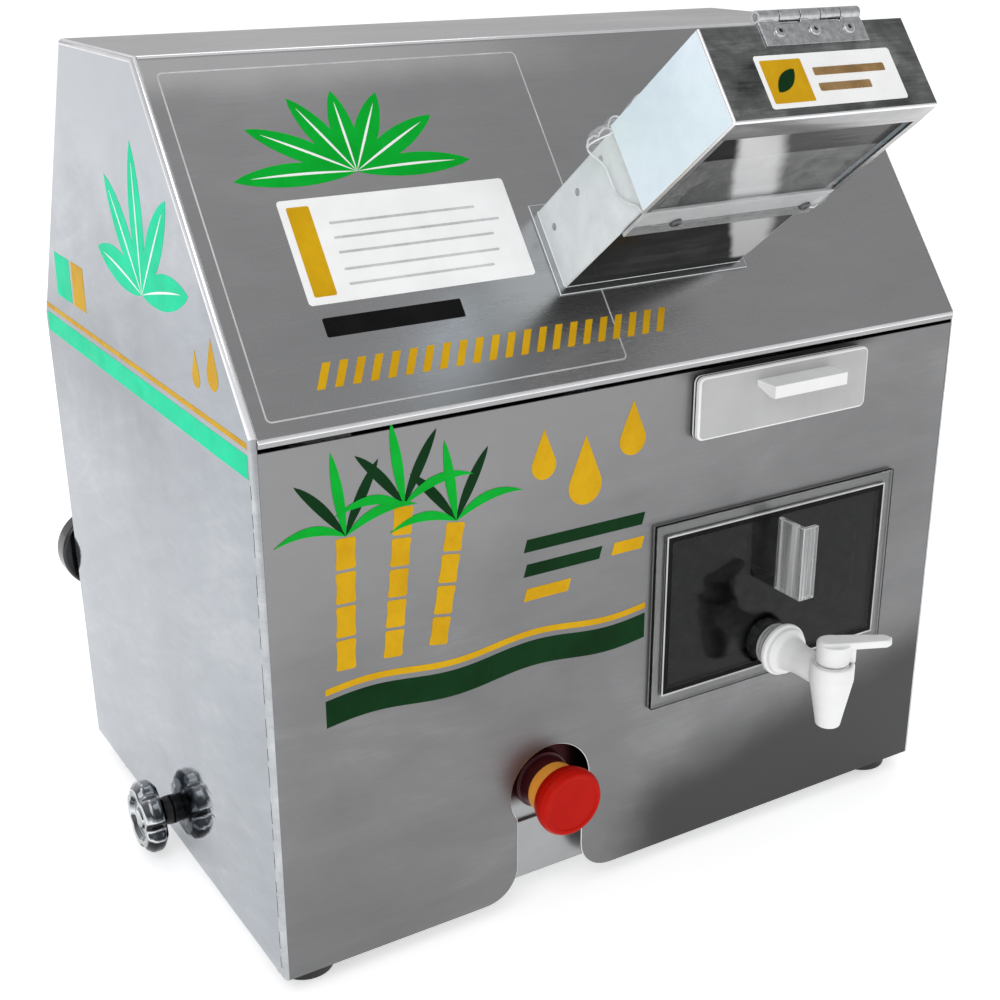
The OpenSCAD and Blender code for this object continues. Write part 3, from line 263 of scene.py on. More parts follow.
def newFinish(name, constants=()):
    finish = bpy.data.materials.new(name)
    finish.use_nodes = True
    shader = finish.node_tree.nodes["Principled BSDF"]
    for socket, value in dict(constants).items():
        shader.inputs[socket].default_value = value
    return finish, shader


def addNode(finish, kind, inputs=(), **settings):
    made = finish.node_tree.nodes.new("ShaderNode" + kind)
    for key, value in settings.items():
        setattr(made, key, value)
    for key, value in dict(inputs).items():
        if isinstance(value, bpy.types.NodeSocket):
            finish.node_tree.links.new(value, made.inputs[key])
        else:
            made.inputs[key].default_value = value
    return made


def noiseOf(finish, scale, detail=4.0, rough=0.5, warp=0.0, tilt=0.0):
    # Noise over Object coordinates, tilted about X; its scale is in waves per metre along each axis
    place = addNode(finish, "TexCoord").outputs["Object"]
    if tilt:
        place = addNode(finish, "Mapping", {"Vector": place, "Rotation": (tilt, 0.0, 0.0)}).outputs[0]
    mapped = addNode(finish, "Mapping", {"Vector": place, "Scale": triple(scale)}).outputs[0]
    settings = {"Vector": mapped, "Scale": 1.0, "Detail": detail, "Roughness": rough, "Distortion": warp}
    return addNode(finish, "TexNoise", settings).outputs[0]


def weighted(finish, *pairs):
    # The sum of each value times its weight
    total = 0.0
    for value, weight in pairs:
        total = addNode(finish, "Math", {0: value, 1: weight, 2: total}, operation="MULTIPLY_ADD").outputs[0]
    return total


def ranged(finish, value, low, high, start=0.35, end=0.65):
    limits = {"Value": value, "From Min": start, "From Max": end, "To Min": low, "To Max": high}
    return addNode(finish, "MapRange", limits).outputs[0]


def ramped(finish, value, stops):
    node = addNode(finish, "ValToRGB", {"Fac": value})
    elements = node.color_ramp.elements
    while len(elements) < len(stops):
        elements.new(0.5)
    for element, (spot, colour) in zip(elements, stops):
        element.position = spot
        element.color = (*triple(colour), 1.0)
    return node.outputs[0]


def feed(finish, value, shader, socket):
    finish.node_tree.links.new(value, shader.inputs[socket])


def relief(finish, shader, height, strength, distance):
    bump = addNode(finish, "Bump", {"Height": height, "Strength": strength, "Distance": distance})
    feed(finish, bump.outputs[0], shader, "Normal")


def coated(finish, shader, tone, stops, wear, rough, bumps):
    # Colour from one value, roughness from another and a relief of (height, strength, distance)
    feed(finish, ramped(finish, tone, stops), shader, "Base Color")
    feed(finish, ranged(finish, wear, *rough), shader, "Roughness")
    relief(finish, shader, *bumps)
    return finish


def planeShare(finish, direction, start, end, warp=0.0):
    # Goes from 0 to 1 between two parallel planes, placed in cabinet millimetres; warp frays the edge
    place = addNode(finish, "TexCoord").outputs["Object"]
    aim = [c / mm for c in direction]
    along = addNode(finish, "VectorMath", {0: place, 1: aim}, operation="DOT_PRODUCT").outputs["Value"]
    fray = noiseOf(finish, 22.0, detail=5.0, rough=0.6)
    along = weighted(finish, (along, 1.0), (fray, warp))
    shift = aim[1] * frontY + warp / 2
    limits = {"Value": along, "From Min": start + shift, "From Max": end + shift}
    return addNode(finish, "MapRange", limits, interpolation_type="SMOOTHSTEP").outputs[0]


def mixed(finish, share, under, over):
    # A colour mix; share is a value socket and the colours are sockets or tones
    node = addNode(finish, "Mix", data_type="RGBA")
    for key, value in ((0, share), (6, under), (7, over)):
        if isinstance(value, bpy.types.NodeSocket):
            finish.node_tree.links.new(value, node.inputs[key])
        else:
            node.inputs[key].default_value = (*triple(value), 1.0)
    return node.outputs[2]


def paintedLightOver(shade, *planes, strength=1.0):
    # Painted shade or a painted highlight over part of a sheet; each plane is (direction, start, end, fray)
    return planes, shade, strength


def steelFinish(name, **look):
    # Sheet steel: cloudy tone, long wipe marks and a fine grain along one axis
    # Each painted-light entry, painted shade or painted highlight, shows where all of its planes do
    finish, shader = newFinish(name, {"Metallic": look.get("metallic", 1.0)})
    cloud = noiseOf(finish, look["cloud"], detail=6.0, rough=0.62, warp=0.4)
    smear = noiseOf(finish, look["smear"], detail=5.0, rough=0.6, warp=0.7, tilt=look.get("tilt", 0.0))
    grain = noiseOf(finish, look["grain"], detail=3.0, rough=0.6)
    tone = weighted(finish, (cloud, 0.5), (smear, 0.35), (grain, 0.15))
    colour = ramped(finish, tone, [(0.36, look["dark"]), (0.52, look["middle"]), (0.66, look["light"])])
    for planes, shade, share in look.get("shades", ()):
        for plane in planes:
            part = planeShare(finish, *plane)
            share = addNode(finish, "Math", {0: part, 1: share}, operation="MULTIPLY").outputs[0]
        colour = mixed(finish, share, colour, shade)
    feed(finish, colour, shader, "Base Color")
    if look.get("darkEdge"):
        feed(finish, colour, shader, "Specular Tint")
    feed(finish, ranged(finish, tone, look["rough"][1], look["rough"][0]), shader, "Roughness")
    height = weighted(finish, (grain, look["grainRelief"]), (smear, look["wave"]))
    relief(finish, shader, height, 0.35, 0.0006)
    return finish


def plasticFinish(name, shade, deep, rough, constants=(), grainSize=900.0, strength=0.06):
    # Moulded plastic: slight mottling, a fine moulded skin and faint handling marks
    finish, shader = newFinish(name, {"IOR": 1.48, **dict(constants)})
    mottle = noiseOf(finish, 45.0, detail=5.0, rough=0.6)
    marks = noiseOf(finish, (260.0, 60.0, 160.0), detail=5.0, rough=0.7, warp=1.2)
    skin = noiseOf(finish, grainSize, detail=2.0)
    tone = weighted(finish, (mottle, 0.85), (marks, 0.15))
    stops = [(0.34, deep), (0.62, shade)]
    return coated(finish, shader, tone, stops, marks, rough, (skin, strength, 0.0003))


clearTone = (0.97, 0.98, 0.98)


def clearFinish(name, tint, ior, rough, waveScale, waveStrength, clearest=clearTone, passes=1.0):
    # Clear moulding: a faint haze and slow waves in the surface
    finish, shader = newFinish(name, {"Transmission Weight": passes, "IOR": ior})
    wave = noiseOf(finish, waveScale, detail=2.0)
    haze = noiseOf(finish, 120.0, detail=6.0, rough=0.7)
    stops = [(0.3, tint), (0.7, clearest)]
    return coated(finish, shader, haze, stops, haze, rough, (wave, waveStrength, 0.0008))


def filmFinish(name, tint, veil, scale=(60.0, 60.0, 40.0), warp=0.8):
    # Thin clear film: mostly see-through, with a veil that comes and goes
    finish, shader = newFinish(name, {"IOR": 1.45, "Specular IOR Level": 1.0})
    haze = noiseOf(finish, scale, rough=0.6, warp=warp)
    feed(finish, ranged(finish, haze, *veil), shader, "Alpha")
    stops = [(0.3, tint), (0.7, clearTone)]
    return coated(finish, shader, haze, stops, haze, (0.05, 0.12), (haze, 0.2, 0.0008))


def metalFinish(name, dark, light, rough, scale=70.0, strength=0.08, metallic=1.0):
    # Castings and machined parts: mottled tone with a rough skin
    finish, shader = newFinish(name, {"Metallic": metallic})
    mottle = noiseOf(finish, scale, detail=6.0, rough=0.65)
    skin = noiseOf(finish, scale * 14, detail=3.0)
    stops = [(0.34, dark), (0.66, light)]
    return coated(finish, shader, mottle, stops, mottle, rough, (skin, strength, 0.0004))


def chromeReflectionFinish(name, stops, rough):
    # Painted reflection: bright where it looks up and near black where it looks down
    finish, shader = newFinish(name, {"Metallic": 1.0})
    facing = addNode(finish, "TexCoord").outputs["Normal"]
    upward = addNode(finish, "SeparateXYZ", {0: facing}).outputs["Z"]
    stain = noiseOf(finish, 60.0)
    tone = ranged(finish, weighted(finish, (upward, 0.5), (stain, 0.2)), 0.0, 1.0, start=-0.4, end=0.6)
    return coated(finish, shader, tone, stops, stain, rough, (stain, 0.03, 0.0004))


frontSteel = steelFinish(
    "frontSteel", dark=(0.185, 0.186, 0.188), middle=(0.215, 0.216, 0.218), light=(0.27, 0.271, 0.273),
    cloud=7.0, smear=(9.0, 30.0, 34.0), grain=(40.0, 1600.0, 1600.0),
    rough=(0.33, 0.45), grainRelief=0.12, wave=0.35,
    shades=(
        # Painted dark reflection towards the lower right
        paintedLightOver((0.070, 0.070, 0.071), ((0.25, 0, -1), -76.0, -26.0, 20.0), ((1, 0, 0), -36.0, 24.0, 26.0)),
        # Painted light reflection towards the upper left
        paintedLightOver((0.26, 0.26, 0.262), ((-0.3, 0, 1), 205.0, 330.0, 60.0)),
        # Painted shadow under the slope cover's lip, above the drawer
        paintedLightOver(
            0.02, ((0, 0, 1), 297.0, 303.0, 3.0), ((1, 0, 0), 12.0, 45.0, 8.0),
            ((-1, 0, 0), -172.0, -135.0, 8.0),
        ),
    ),
)
slopeSteel = steelFinish(
    "slopeSteel", dark=(0.32, 0.321, 0.323), middle=(0.37, 0.371, 0.373), light=(0.44, 0.441, 0.443),
    cloud=5.0, smear=(5.0, 22.0, 22.0), grain=(40.0, 1600.0, 1600.0),
    rough=(0.22, 0.32), grainRelief=0.05, wave=0.2,
    shades=(
        # Painted shade: the flat top darker than the slope
        paintedLightOver((0.24, 0.24, 0.242), ((0, 0, 1), 467.0, 468.5), strength=0.7),
        # Painted reflection: a lighter band near the top of the slope, on its left
        paintedLightOver(
            0.72, ((0, 0, 1), 445.0, 462.0, 10.0), ((0, 0, -1), -468.0, -466.5),
            ((-1, 0, 0), -70.0, 90.0, 40.0), strength=0.6,
        ),
    ),
)
sideSteel = steelFinish(
    "sideSteel", dark=(0.278, 0.300, 0.330), middle=(0.325, 0.350, 0.382), light=(0.405, 0.424, 0.448),
    shades=(
        # Painted reflection: lighter high up
        paintedLightOver((0.56, 0.59, 0.63), ((0, 0, 1), 340.0, 440.0, 120.0), strength=0.6),
        # Painted dark reflection: a band lower down, stronger towards the back
        paintedLightOver(
            (0.14, 0.155, 0.175), ((0, 0, 1), 220.0, 290.0, 90.0), ((0, 0, -1), -360.0, -300.0, 60.0),
            ((0, 1, 0), 20.0, 220.0, 120.0), strength=0.6,
        ),
    ),
    cloud=(10.0, 10.0, 13.0), smear=(34.0, 10.0, 64.0), grain=(150.0, 60.0, 260.0),
    rough=(0.03, 0.09), grainRelief=0.30, wave=0.6, tilt=math.radians(20),
)
# Painted highlight: near-white steel for rounded edges and bends where light catches them
edgeSteel = steelFinish(
    "edgeSteel", dark=(0.78, 0.78, 0.79), middle=(0.88, 0.88, 0.89), light=0.97,
    cloud=30.0, smear=20.0, grain=300.0,
    rough=(0.14, 0.26), grainRelief=0.04, wave=0.1,
)
# Painted highlight: lighter steel for the side panels' rounded edges below the fold
cornerSteel = steelFinish(
    "cornerSteel", dark=(0.36, 0.375, 0.39), middle=(0.47, 0.485, 0.50), light=(0.62, 0.63, 0.64),
    cloud=30.0, smear=(20.0, 20.0, 60.0), grain=300.0,
    rough=(0.2, 0.32), grainRelief=0.06, wave=0.2,
)
# Painted light: the hood walls toned pale blue-white as if lit and reflecting the sky
wallSteel = steelFinish(
    "wallSteel", dark=(0.70, 0.80, 0.88), middle=(0.78, 0.88, 0.96), light=(0.86, 0.94, 1.0), metallic=0.25,
    cloud=14.0, smear=(12.0, 40.0, 40.0), grain=(50.0, 900.0, 900.0),
    rough=(0.34, 0.46), grainRelief=0.05, wave=0.2,
)
chuteStart = chuteAxis.dot(foldLine)
# Painted light: the duct's side walls toned light, with a painted shadow towards and under the hood's lower
# edge
ductWallSteel = steelFinish(
    "ductWallSteel", dark=(0.66, 0.70, 0.715), middle=(0.76, 0.80, 0.81), light=(0.88, 0.91, 0.91),
    metallic=0.25,
    cloud=20.0, smear=(16.0, 50.0, 50.0), grain=(50.0, 900.0, 900.0),
    rough=(0.3, 0.42), grainRelief=0.05, wave=0.3,
    shades=(paintedLightOver((0.60, 0.63, 0.65), (chuteAxis, 77.0 + chuteStart, 88.0 + chuteStart, 1.0)),),
)
# Painted shade: the hood's lip, mid-grey where the walls are light
lipSteel = steelFinish(
    "lipSteel", dark=0.30, middle=0.40, light=0.55,
    cloud=20.0, smear=(8.0, 90.0, 90.0), grain=(30.0, 900.0, 900.0),
    rough=(0.12, 0.22), grainRelief=0.05, wave=0.4,
)
# Slant of the painted reflection bands on the duct's front wall
reflectionSlant = 0.66
chuteAcross = Vector((1, 0, 0)) + reflectionSlant * chuteAxis
chuteShift = reflectionSlant * chuteStart
# Painted reflection: the duct's front wall near black, with a bright band, a grey band and painted shade at
# its foot
ductSteel = steelFinish(
    "ductSteel", dark=0.01, middle=0.03, light=(0.10, 0.10, 0.097), metallic=0.6, darkEdge=True,
    cloud=18.0, smear=(14.0, 80.0, 80.0), grain=(50.0, 900.0, 900.0),
    rough=(0.10, 0.2), grainRelief=0.05, wave=0.6,
    shades=(
        paintedLightOver(0.92, (chuteAcross, 72.0 + chuteShift, 78.0 + chuteShift, 12.0)),
        paintedLightOver((0.17, 0.17, 0.168), (chuteAcross, 97.0 + chuteShift, 108.0 + chuteShift, 10.0)),
        paintedLightOver(0.03, (-chuteAxis, -11.0 - chuteStart, -6.0 - chuteStart, 3.0)),
    ),
)
# Painted reflection: dark and bright patches on the hood's cap, as a mirror shows
capSteel = steelFinish(
    "capSteel", dark=(0.045, 0.05, 0.048), middle=(0.20, 0.21, 0.205), light=(0.46, 0.47, 0.465),
    cloud=42.0, smear=(16.0, 70.0, 70.0), grain=(60.0, 1200.0, 1200.0),
    rough=(0.10, 0.2), grainRelief=0.06, wave=0.6,
)
innerSteel = steelFinish(
    "innerSteel", dark=(0.34, 0.34, 0.35), middle=(0.45, 0.45, 0.46), light=(0.56, 0.56, 0.57),
    cloud=8.0, smear=(12.0, 30.0, 30.0), grain=(50.0, 1400.0, 1400.0),
    rough=(0.28, 0.4), grainRelief=0.1, wave=0.2,
)
bracketSteel = steelFinish(
    "bracketSteel", dark=(0.35, 0.36, 0.365), middle=(0.38, 0.39, 0.395), light=(0.42, 0.43, 0.435),
    cloud=8.0, smear=(12.0, 30.0, 30.0), grain=(50.0, 1400.0, 1400.0),
    rough=(0.28, 0.4), grainRelief=0.08, wave=0.15,
    # Painted shadow on the bracket's upper part inside the notch, tinted dark maroon as a painted reflection
    # of the red head
    shades=(paintedLightOver((0.035, 0.010, 0.012), ((0, 0, 1), 60.0, 70.0, 4.0)),),
)
rollerSteel = metalFinish("rollerSteel", (0.45, 0.45, 0.46), (0.62, 0.62, 0.63), (0.16, 0.3), 90.0, 0.05)
machineSteel = metalFinish("machineSteel", (0.24, 0.24, 0.25), (0.40, 0.40, 0.41), (0.28, 0.45), 80.0, 0.08)
castIron = metalFinish("castIron", (0.10, 0.10, 0.105), (0.19, 0.19, 0.195), (0.45, 0.62), 60.0, 0.3)
bushBronze = metalFinish("bushBronze", (0.42, 0.25, 0.10), (0.58, 0.37, 0.16), (0.22, 0.38), 90.0, 0.06)
knobChrome = chromeReflectionFinish("knobChrome", [
    (0.0, (0.008, 0.009, 0.010)), (0.40, (0.02, 0.022, 0.024)), (0.50, (0.36, 0.375, 0.385)),
    (0.58, (0.80, 0.82, 0.83)), (0.68, (0.06, 0.065, 0.07)), (0.84, (0.20, 0.21, 0.22)),
    (1.0, (0.62, 0.64, 0.65)),
], (0.05, 0.12))
screwSteel = metalFinish("screwSteel", (0.40, 0.41, 0.42), (0.62, 0.63, 0.64), (0.14, 0.28), 300.0, 0.05)
motorPaint = metalFinish("motorPaint", (0.10, 0.14, 0.19), (0.20, 0.26, 0.33), (0.32, 0.5), 160.0, 0.4, 0.1)
whitePlastic = plasticFinish("whitePlastic", (0.86, 0.86, 0.855), (0.80, 0.80, 0.795), (0.28, 0.4))
drawerPlastic = plasticFinish("drawerPlastic", 0.48, 0.44, (0.36, 0.5))
redPlastic = plasticFinish(
    "redPlastic", (0.50, 0.007, 0.001), (0.43, 0.004, 0.001), (0.30, 0.42), {"Specular IOR Level": 0.08},
)
maroonPlastic = plasticFinish("maroonPlastic", (0.085, 0.010, 0.012), (0.04, 0.006, 0.008), (0.3, 0.45))
yellowPlastic = plasticFinish("yellowPlastic", (0.92, 0.40, 0.06), (0.80, 0.30, 0.04), (0.3, 0.42))
greyPlastic = plasticFinish("greyPlastic", 0.40, 0.30, (0.2, 0.35))
blackPlastic = plasticFinish(
    "blackPlastic", (0.018, 0.018, 0.019), (0.009, 0.009, 0.010), (0.25, 0.42), {"Specular IOR Level": 0.25},
)
glossBlack = plasticFinish(
    "glossBlack", (0.006, 0.006, 0.007), (0.003, 0.003, 0.004), (0.05, 0.10), {"Specular IOR Level": 0.7},
)
blackRubber = plasticFinish("blackRubber", 0.026, 0.012, (0.55, 0.75), grainSize=1200.0, strength=0.25)
ripple = 40.0
slowRipple = 20.0
# Painted highlight: milky acrylic for lit edges and the strip's upper half
milkyAcrylic = clearFinish("milkyAcrylic", (0.86, 0.88, 0.88), 1.49, (0.10, 0.2), ripple, 0.05, passes=0.6)
stripAcrylic = clearFinish(
    "stripAcrylic", (0.46, 0.47, 0.47), 1.49, (0.04, 0.1), ripple, 0.05, (0.62, 0.63, 0.63), 0.7,
)
smokyAcrylic = clearFinish(
    "smokyAcrylic", (0.30, 0.305, 0.305), 1.27, (0.01, 0.04), slowRipple, 0.02, (0.48, 0.49, 0.49),
)
flangeAcrylic = clearFinish("flangeAcrylic", (0.93, 0.945, 0.94), 1.4, (0.01, 0.04), slowRipple, 0.02, 0.99)
pullAcrylic = filmFinish("pullAcrylic", 0.06, (0.20, 0.62), (260.0, 160.0, 5.0), 0.2)
clearAcrylic = clearFinish("clearAcrylic", (0.90, 0.93, 0.92), 1.49, (0.005, 0.03), slowRipple, 0.02)
clearVinyl = filmFinish("clearVinyl", (0.90, 0.92, 0.92), (0.07, 0.16))
hemVinyl = plasticFinish("hemVinyl", (0.80, 0.82, 0.82), (0.62, 0.64, 0.64), (0.12, 0.25))


def inkFinish(name, shade, deep):
    # Flat printed colour with little gloss
    return plasticFinish(name, shade, deep, (0.36, 0.5), {"Specular IOR Level": 0.06}, 500.0, 0.04)


goldInk = inkFinish("goldInk", (0.66, 0.38, 0.008), (0.56, 0.30, 0.005))
darkGreenInk = inkFinish("darkGreenInk", (0.003, 0.036, 0.008), (0.002, 0.024, 0.005))
leafGreenInk = inkFinish("leafGreenInk", (0.002, 0.42, 0.032), (0.001, 0.34, 0.022))
mintInk = inkFinish("mintInk", (0.004, 0.72, 0.38), (0.002, 0.62, 0.31))
blackInk = inkFinish("blackInk", 0.008, 0.004)
cardWhite = plasticFinish("cardWhite", (0.94, 0.94, 0.93), (0.88, 0.88, 0.87), (0.4, 0.55), (), 500.0, 0.05)
# Grey for printed rules, and painted highlight along film and tank edges
filmEdge = plasticFinish("filmEdge", 0.62, 0.42, (0.2, 0.35), (), 500.0, 0.04)
# Dark seams, and painted shade in recesses and grooves
seamDark = plasticFinish(
    "seamDark", (0.022, 0.022, 0.024), (0.010, 0.010, 0.011), (0.4, 0.6), {"Specular IOR Level": 0.12},
)
finishOfSlot = {
    "brushed_stainless": innerSteel, "polished_stainless": rollerSteel, "machine_steel": machineSteel,
    "cast_iron": castIron, "bronze": bushBronze, "black_rubber": blackRubber, "chrome": knobChrome,
    "clear_acrylic": clearAcrylic, "clear_vinyl": clearVinyl, "white_plastic": whitePlastic,
    "grey_plastic": greyPlastic, "black_plastic": blackPlastic, "red_plastic": redPlastic,
    "yellow_plastic": yellowPlastic, "motor_paint": motorPaint,
}
for node, made in cadNodes.items():
    made.data.materials.clear()
    made.data.materials.append(finishOfSlot[slotOf[node]])
print("finishes ready")


# Repeats: one tree puts a shape on every point, turned to face the way that the point says

def scatterTree():
    tree = bpy.data.node_groups.new("placeShapes", "GeometryNodeTree")
    kinds = {"Places": "Geometry", "Shape": "Object", "Finish": "Material", "Turn": "Float", "Seed": "Int"}
    sockets = {
        name: tree.interface.new_socket(name, in_out="INPUT", socket_type="NodeSocket" + kind)
        for name, kind in kinds.items()
    }
    tree.interface.new_socket("Placed", in_out="OUTPUT", socket_type="NodeSocketGeometry")

    def add(kind, inputs=(), **settings):
        node = tree.nodes.new(kind)
        for key, value in settings.items():
            setattr(node, key, value)
        for key, value in dict(inputs).items():
            tree.links.new(value, node.inputs[key])
        return node

    given = add("NodeGroupInput").outputs
    shape = add("GeometryNodeObjectInfo", {"Object": given["Shape"]})
    facing = add("GeometryNodeInputNamedAttribute", data_type="FLOAT_VECTOR")
    facing.inputs["Name"].default_value = "facing"
    align = add("FunctionNodeAlignRotationToVector", {"Vector": facing.outputs["Attribute"]}, axis="Z")
    chance = add("FunctionNodeRandomValue", {3: given["Turn"], "Seed": given["Seed"]}, data_type="FLOAT")
    spin = add("FunctionNodeAxisAngleToRotation", {"Angle": chance.outputs[1]})
    turned = add("FunctionNodeRotateRotation", {
        "Rotation": align.outputs["Rotation"], "Rotate By": spin.outputs["Rotation"],
    }, rotation_space="LOCAL")
    placed = add("GeometryNodeInstanceOnPoints", {
        "Points": given["Places"], "Instance": shape.outputs["Geometry"],
        "Rotation": turned.outputs["Rotation"],
    })
    real = add("GeometryNodeRealizeInstances", {"Geometry": placed.outputs["Instances"]})
    painted = add("GeometryNodeSetMaterial", {
        "Geometry": real.outputs["Geometry"], "Material": given["Finish"],
    })
    add("NodeGroupOutput", {"Placed": painted.outputs["Geometry"]})
    return tree, {name: socket.identifier for name, socket in sockets.items()}


placeTree, placeInputs = scatterTree()


def scattered(name, shapeForm, spots, finish, body, stands=(), slot=None, turn=0.0, smooth=38.0):
    # spots are (place matrix, point, facing) in millimetres of that place
    bmesh.ops.recalc_face_normals(shapeForm, faces=shapeForm.faces)
    bmesh.ops.scale(shapeForm, vec=(mm, mm, mm), verts=shapeForm.verts)
    shapeMesh = bpy.data.meshes.new(name + "_shape")
    shapeForm.to_mesh(shapeMesh)
    shapeForm.free()
    shape = bpy.data.objects.new(name + "_shape", shapeMesh)
    points = bpy.data.meshes.new(name)
    points.from_pydata([place @ Vector(point) for place, point, facing in spots], [], [])
    facings = points.attributes.new("facing", "FLOAT_VECTOR", "POINT")
    for i, (place, point, facing) in enumerate(spots):
        facings.data[i].vector = (place.to_3x3() @ Vector(facing)).normalized()
    made = bpy.data.objects.new(name, points)
    scene.collection.objects.link(made)
    modifier = made.modifiers.new("placeShapes", "NODES")
    modifier.node_group = placeTree
    modifier[placeInputs["Shape"]] = shape
    modifier[placeInputs["Finish"]] = finish
    modifier[placeInputs["Turn"]] = turn
    modifier[placeInputs["Seed"]] = 7
    withModifiers(made)
    bpy.data.objects.remove(shape)
    shadeSmooth(made, smooth)
    settle(made, body, stands, slot)


def screwForm(radius, height, stem):
    # A domed head with a recess in its middle, and a stem below
    form = bmesh.new()
    profile = [(0, height * 0.35), (radius * 0.22, height * 0.35), (radius * 0.34, height * 0.98)]
    profile += softened([(radius * 0.34, height), (radius, height), (radius, 0.0)], height * 0.75, False, 4)
    profile += [(radius * 0.5, 0.0), (radius * 0.5, -stem), (0, -stem)]
    addTurned(form, profile, steps=20)
    return form


# Cabinet panels

panels = {
    "edge": 0.35, "bend": 3.2, "sideRound": 2.8, "frontTop": 303.6, "seamDepth": 3.0,
    "notchX": -59.5, "notchHalf": 50.0, "notchTop": 110.0, "bendAngles": (12.0, 80.0), "bendLength": 20.0,
}


def drawnIn(form):
    # The sheet stops at the side panels' rounded edges
    for vertex in form.verts:
        vertex.co.x = max(-cabinet["seam"], min(cabinet["seam"], vertex.co.x))


def roundBends(form, radius, skin):
    # Rounds each bend of a folded sheet, inside and outside
    groups = {}
    least, most = [math.radians(a) for a in panels["bendAngles"]]
    for edge in form.edges:
        if len(edge.link_faces) != 2:
            continue
        angle = edge.calc_face_angle_signed()
        if least < abs(angle) < most and edge.calc_length() > panels["bendLength"]:
            groups.setdefault(round(angle, 2), []).append(edge)
    for angle, edges in groups.items():
        bendRadius = radius if angle > 0 else radius - skin
        offset = bendRadius * math.tan(abs(angle) / 2)
        faces = roundOff(form, [e for e in edges if e.is_valid], offset, segments=6)
        # Outer bends take the second finish, a painted highlight
        if angle > 0:
            paint(faces, 1)


front = copyOf("front_panel")
drawnIn(front)
for vertex in front.verts:
    vertex.co.z = min(vertex.co.z, panels["frontTop"])


def atNotch(edge):
    middle = (edge.verts[0].co + edge.verts[1].co) / 2
    return abs(middle.x - panels["notchX"]) < panels["notchHalf"] and middle.z < panels["notchTop"]


# The notch's rounded edges take a painted highlight
softEdges(front, panels["edge"], least=60, chosen=atNotch, index=1)
softEdges(front, panels["edge"], least=60, chosen=lambda edge: not atNotch(edge))
makePiece("front_panel_sheet", front, [frontSteel, edgeSteel], "cabinet", ("front_panel",))

for node in ("slope_cover", "rear_panel"):
    cover = copyOf(node)
    drawnIn(cover)
    roundBends(cover, panels["bend"], cabinet["skin"])
    softEdges(cover, panels["edge"], least=75)
    makePiece(node + "_sheet", cover, [slopeSteel, edgeSteel], "cabinet", (node,))

for node, side in (("left_side_panel", -1), ("right_side_panel", 1)):
    fold, run, rise = cabinet["foldHeight"], cabinet["slopeRun"], cabinet["slopeRise"]
    outline = [
        (0, cabinet["foot"][1]), (0, fold), (run, fold + rise), (run + cabinet["topDepth"], fold + rise),
        cabinet["kink"], cabinet["foot"],
    ]
    panel = bmesh.new()
    addPrism(panel, outline, 0, panels["seamDepth"])
    outer = [e for e in panel.edges if all(v.co.z > 1 for v in e.verts)]
    # Rounded edges take painted highlights: above the fold the near-white edge steel, below it the lighter
    # corner steel
    for face in roundOff(panel, outer, panels["sideRound"], segments=7):
        face.material_index = 1 if face.calc_center_median().y > fold else 2
    toSide = Matrix(((0, 0, side, side * cabinet["seam"]), (1, 0, 0, 0), (0, 1, 0, 0), (0, 0, 0, 1)))
    finishes = [sideSteel, edgeSteel, cornerSteel]
    makePiece(node + "_sheet", panel, finishes, "cabinet", (node,), place=inCabinet @ toSide)

# Short dark nicks along the seam between the front and the left side
nicks = {
    "long": 7.0, "wide": 0.4, "deep": 0.2, "proud": 0.05, "pitch": 9.6, "from": 22.0, "to": 300.0,
    "back": 3.1, "stray": 3.4, "straySpeed": 2.4, "turn": 0.05,
}
nick = bmesh.new()
halfLong, halfWide = nicks["long"] / 2, nicks["wide"] / 2
nickOutline = boxOutline(-halfLong, -halfWide, halfLong, halfWide, halfWide, 2)
addPrism(nick, nickOutline, -nicks["deep"], nicks["proud"])
nickHeights = [
    nicks["from"] + k * nicks["pitch"] + nicks["stray"] * math.sin(nicks["straySpeed"] * k)
    for k in range(int((nicks["to"] - nicks["from"]) / nicks["pitch"]))
]
scattered(
    "seam_nicks", nick, [(onLeft, (-nicks["back"], height, 0), (0, 0, 1)) for height in nickHeights],
    seamDark, "cabinet", slot="brushed_stainless", turn=nicks["turn"],
)
for node in ("base_tray", "switch_bracket"):
    softPiece(node, bracketSteel, width=0.4)
print("cabinet panels made")


# Feed chute, hood and hinge

hood = {
    "x": (-37.7, 84.3), "s": (47.0, 93.6), "cap": 166.2, "wall": 87.2, "lip": 152.0, "fold": 1.2, "skin": 1.2,
    "return": 4.0, "bend": 4.0, "rim": 0.5,
}


def hoodForm():
    # Its finishes in order: the walls, the cap, the lip and the edges; the one steel sheet gets a painted
    # tone on each face for light and reflection, and painted highlights on its edges
    form = bmesh.new()
    (x0, x1), (s0, s1) = hood["x"], hood["s"]
    corner = {}
    for i, x in enumerate((x0, x1)):
        for j, s in enumerate((s0, s1)):
            corner[i, j] = form.verts.new((x, s, hood["cap"]))
    lip = [form.verts.new((x, s0, hood["lip"])) for x in (x0, x1)]
    low = [[form.verts.new((x, s, hood["wall"])) for s in (s0, s1)] for x in (x0, x1)]
    cap = form.faces.new((corner[0, 0], corner[1, 0], corner[1, 1], corner[0, 1]))
    cap.material_index = 1
    form.faces.new((corner[0, 0], lip[0], lip[1], corner[1, 0])).material_index = 2
    for i, inward in enumerate((hood["return"], -hood["return"])):
        inner = [form.verts.new(v.co + Vector((inward, 0, 0))) for v in (lip[i], low[i][0])]
        form.faces.new((lip[i], low[i][0], inner[1], inner[0])).material_index = 2
    form.faces.new((corner[0, 1], low[0][1], low[0][0], lip[0], corner[0, 0]))
    form.faces.new((corner[1, 0], lip[1], low[1][0], low[1][1], corner[1, 1]))
    rightEdge = {corner[1, 0], corner[1, 1]}
    softEdges(form, hood["bend"], segments=6, chosen=lambda edge: set(edge.verts) == rightEdge, index=1)
    softEdges(form, hood["fold"], segments=5, index=3)
    return form


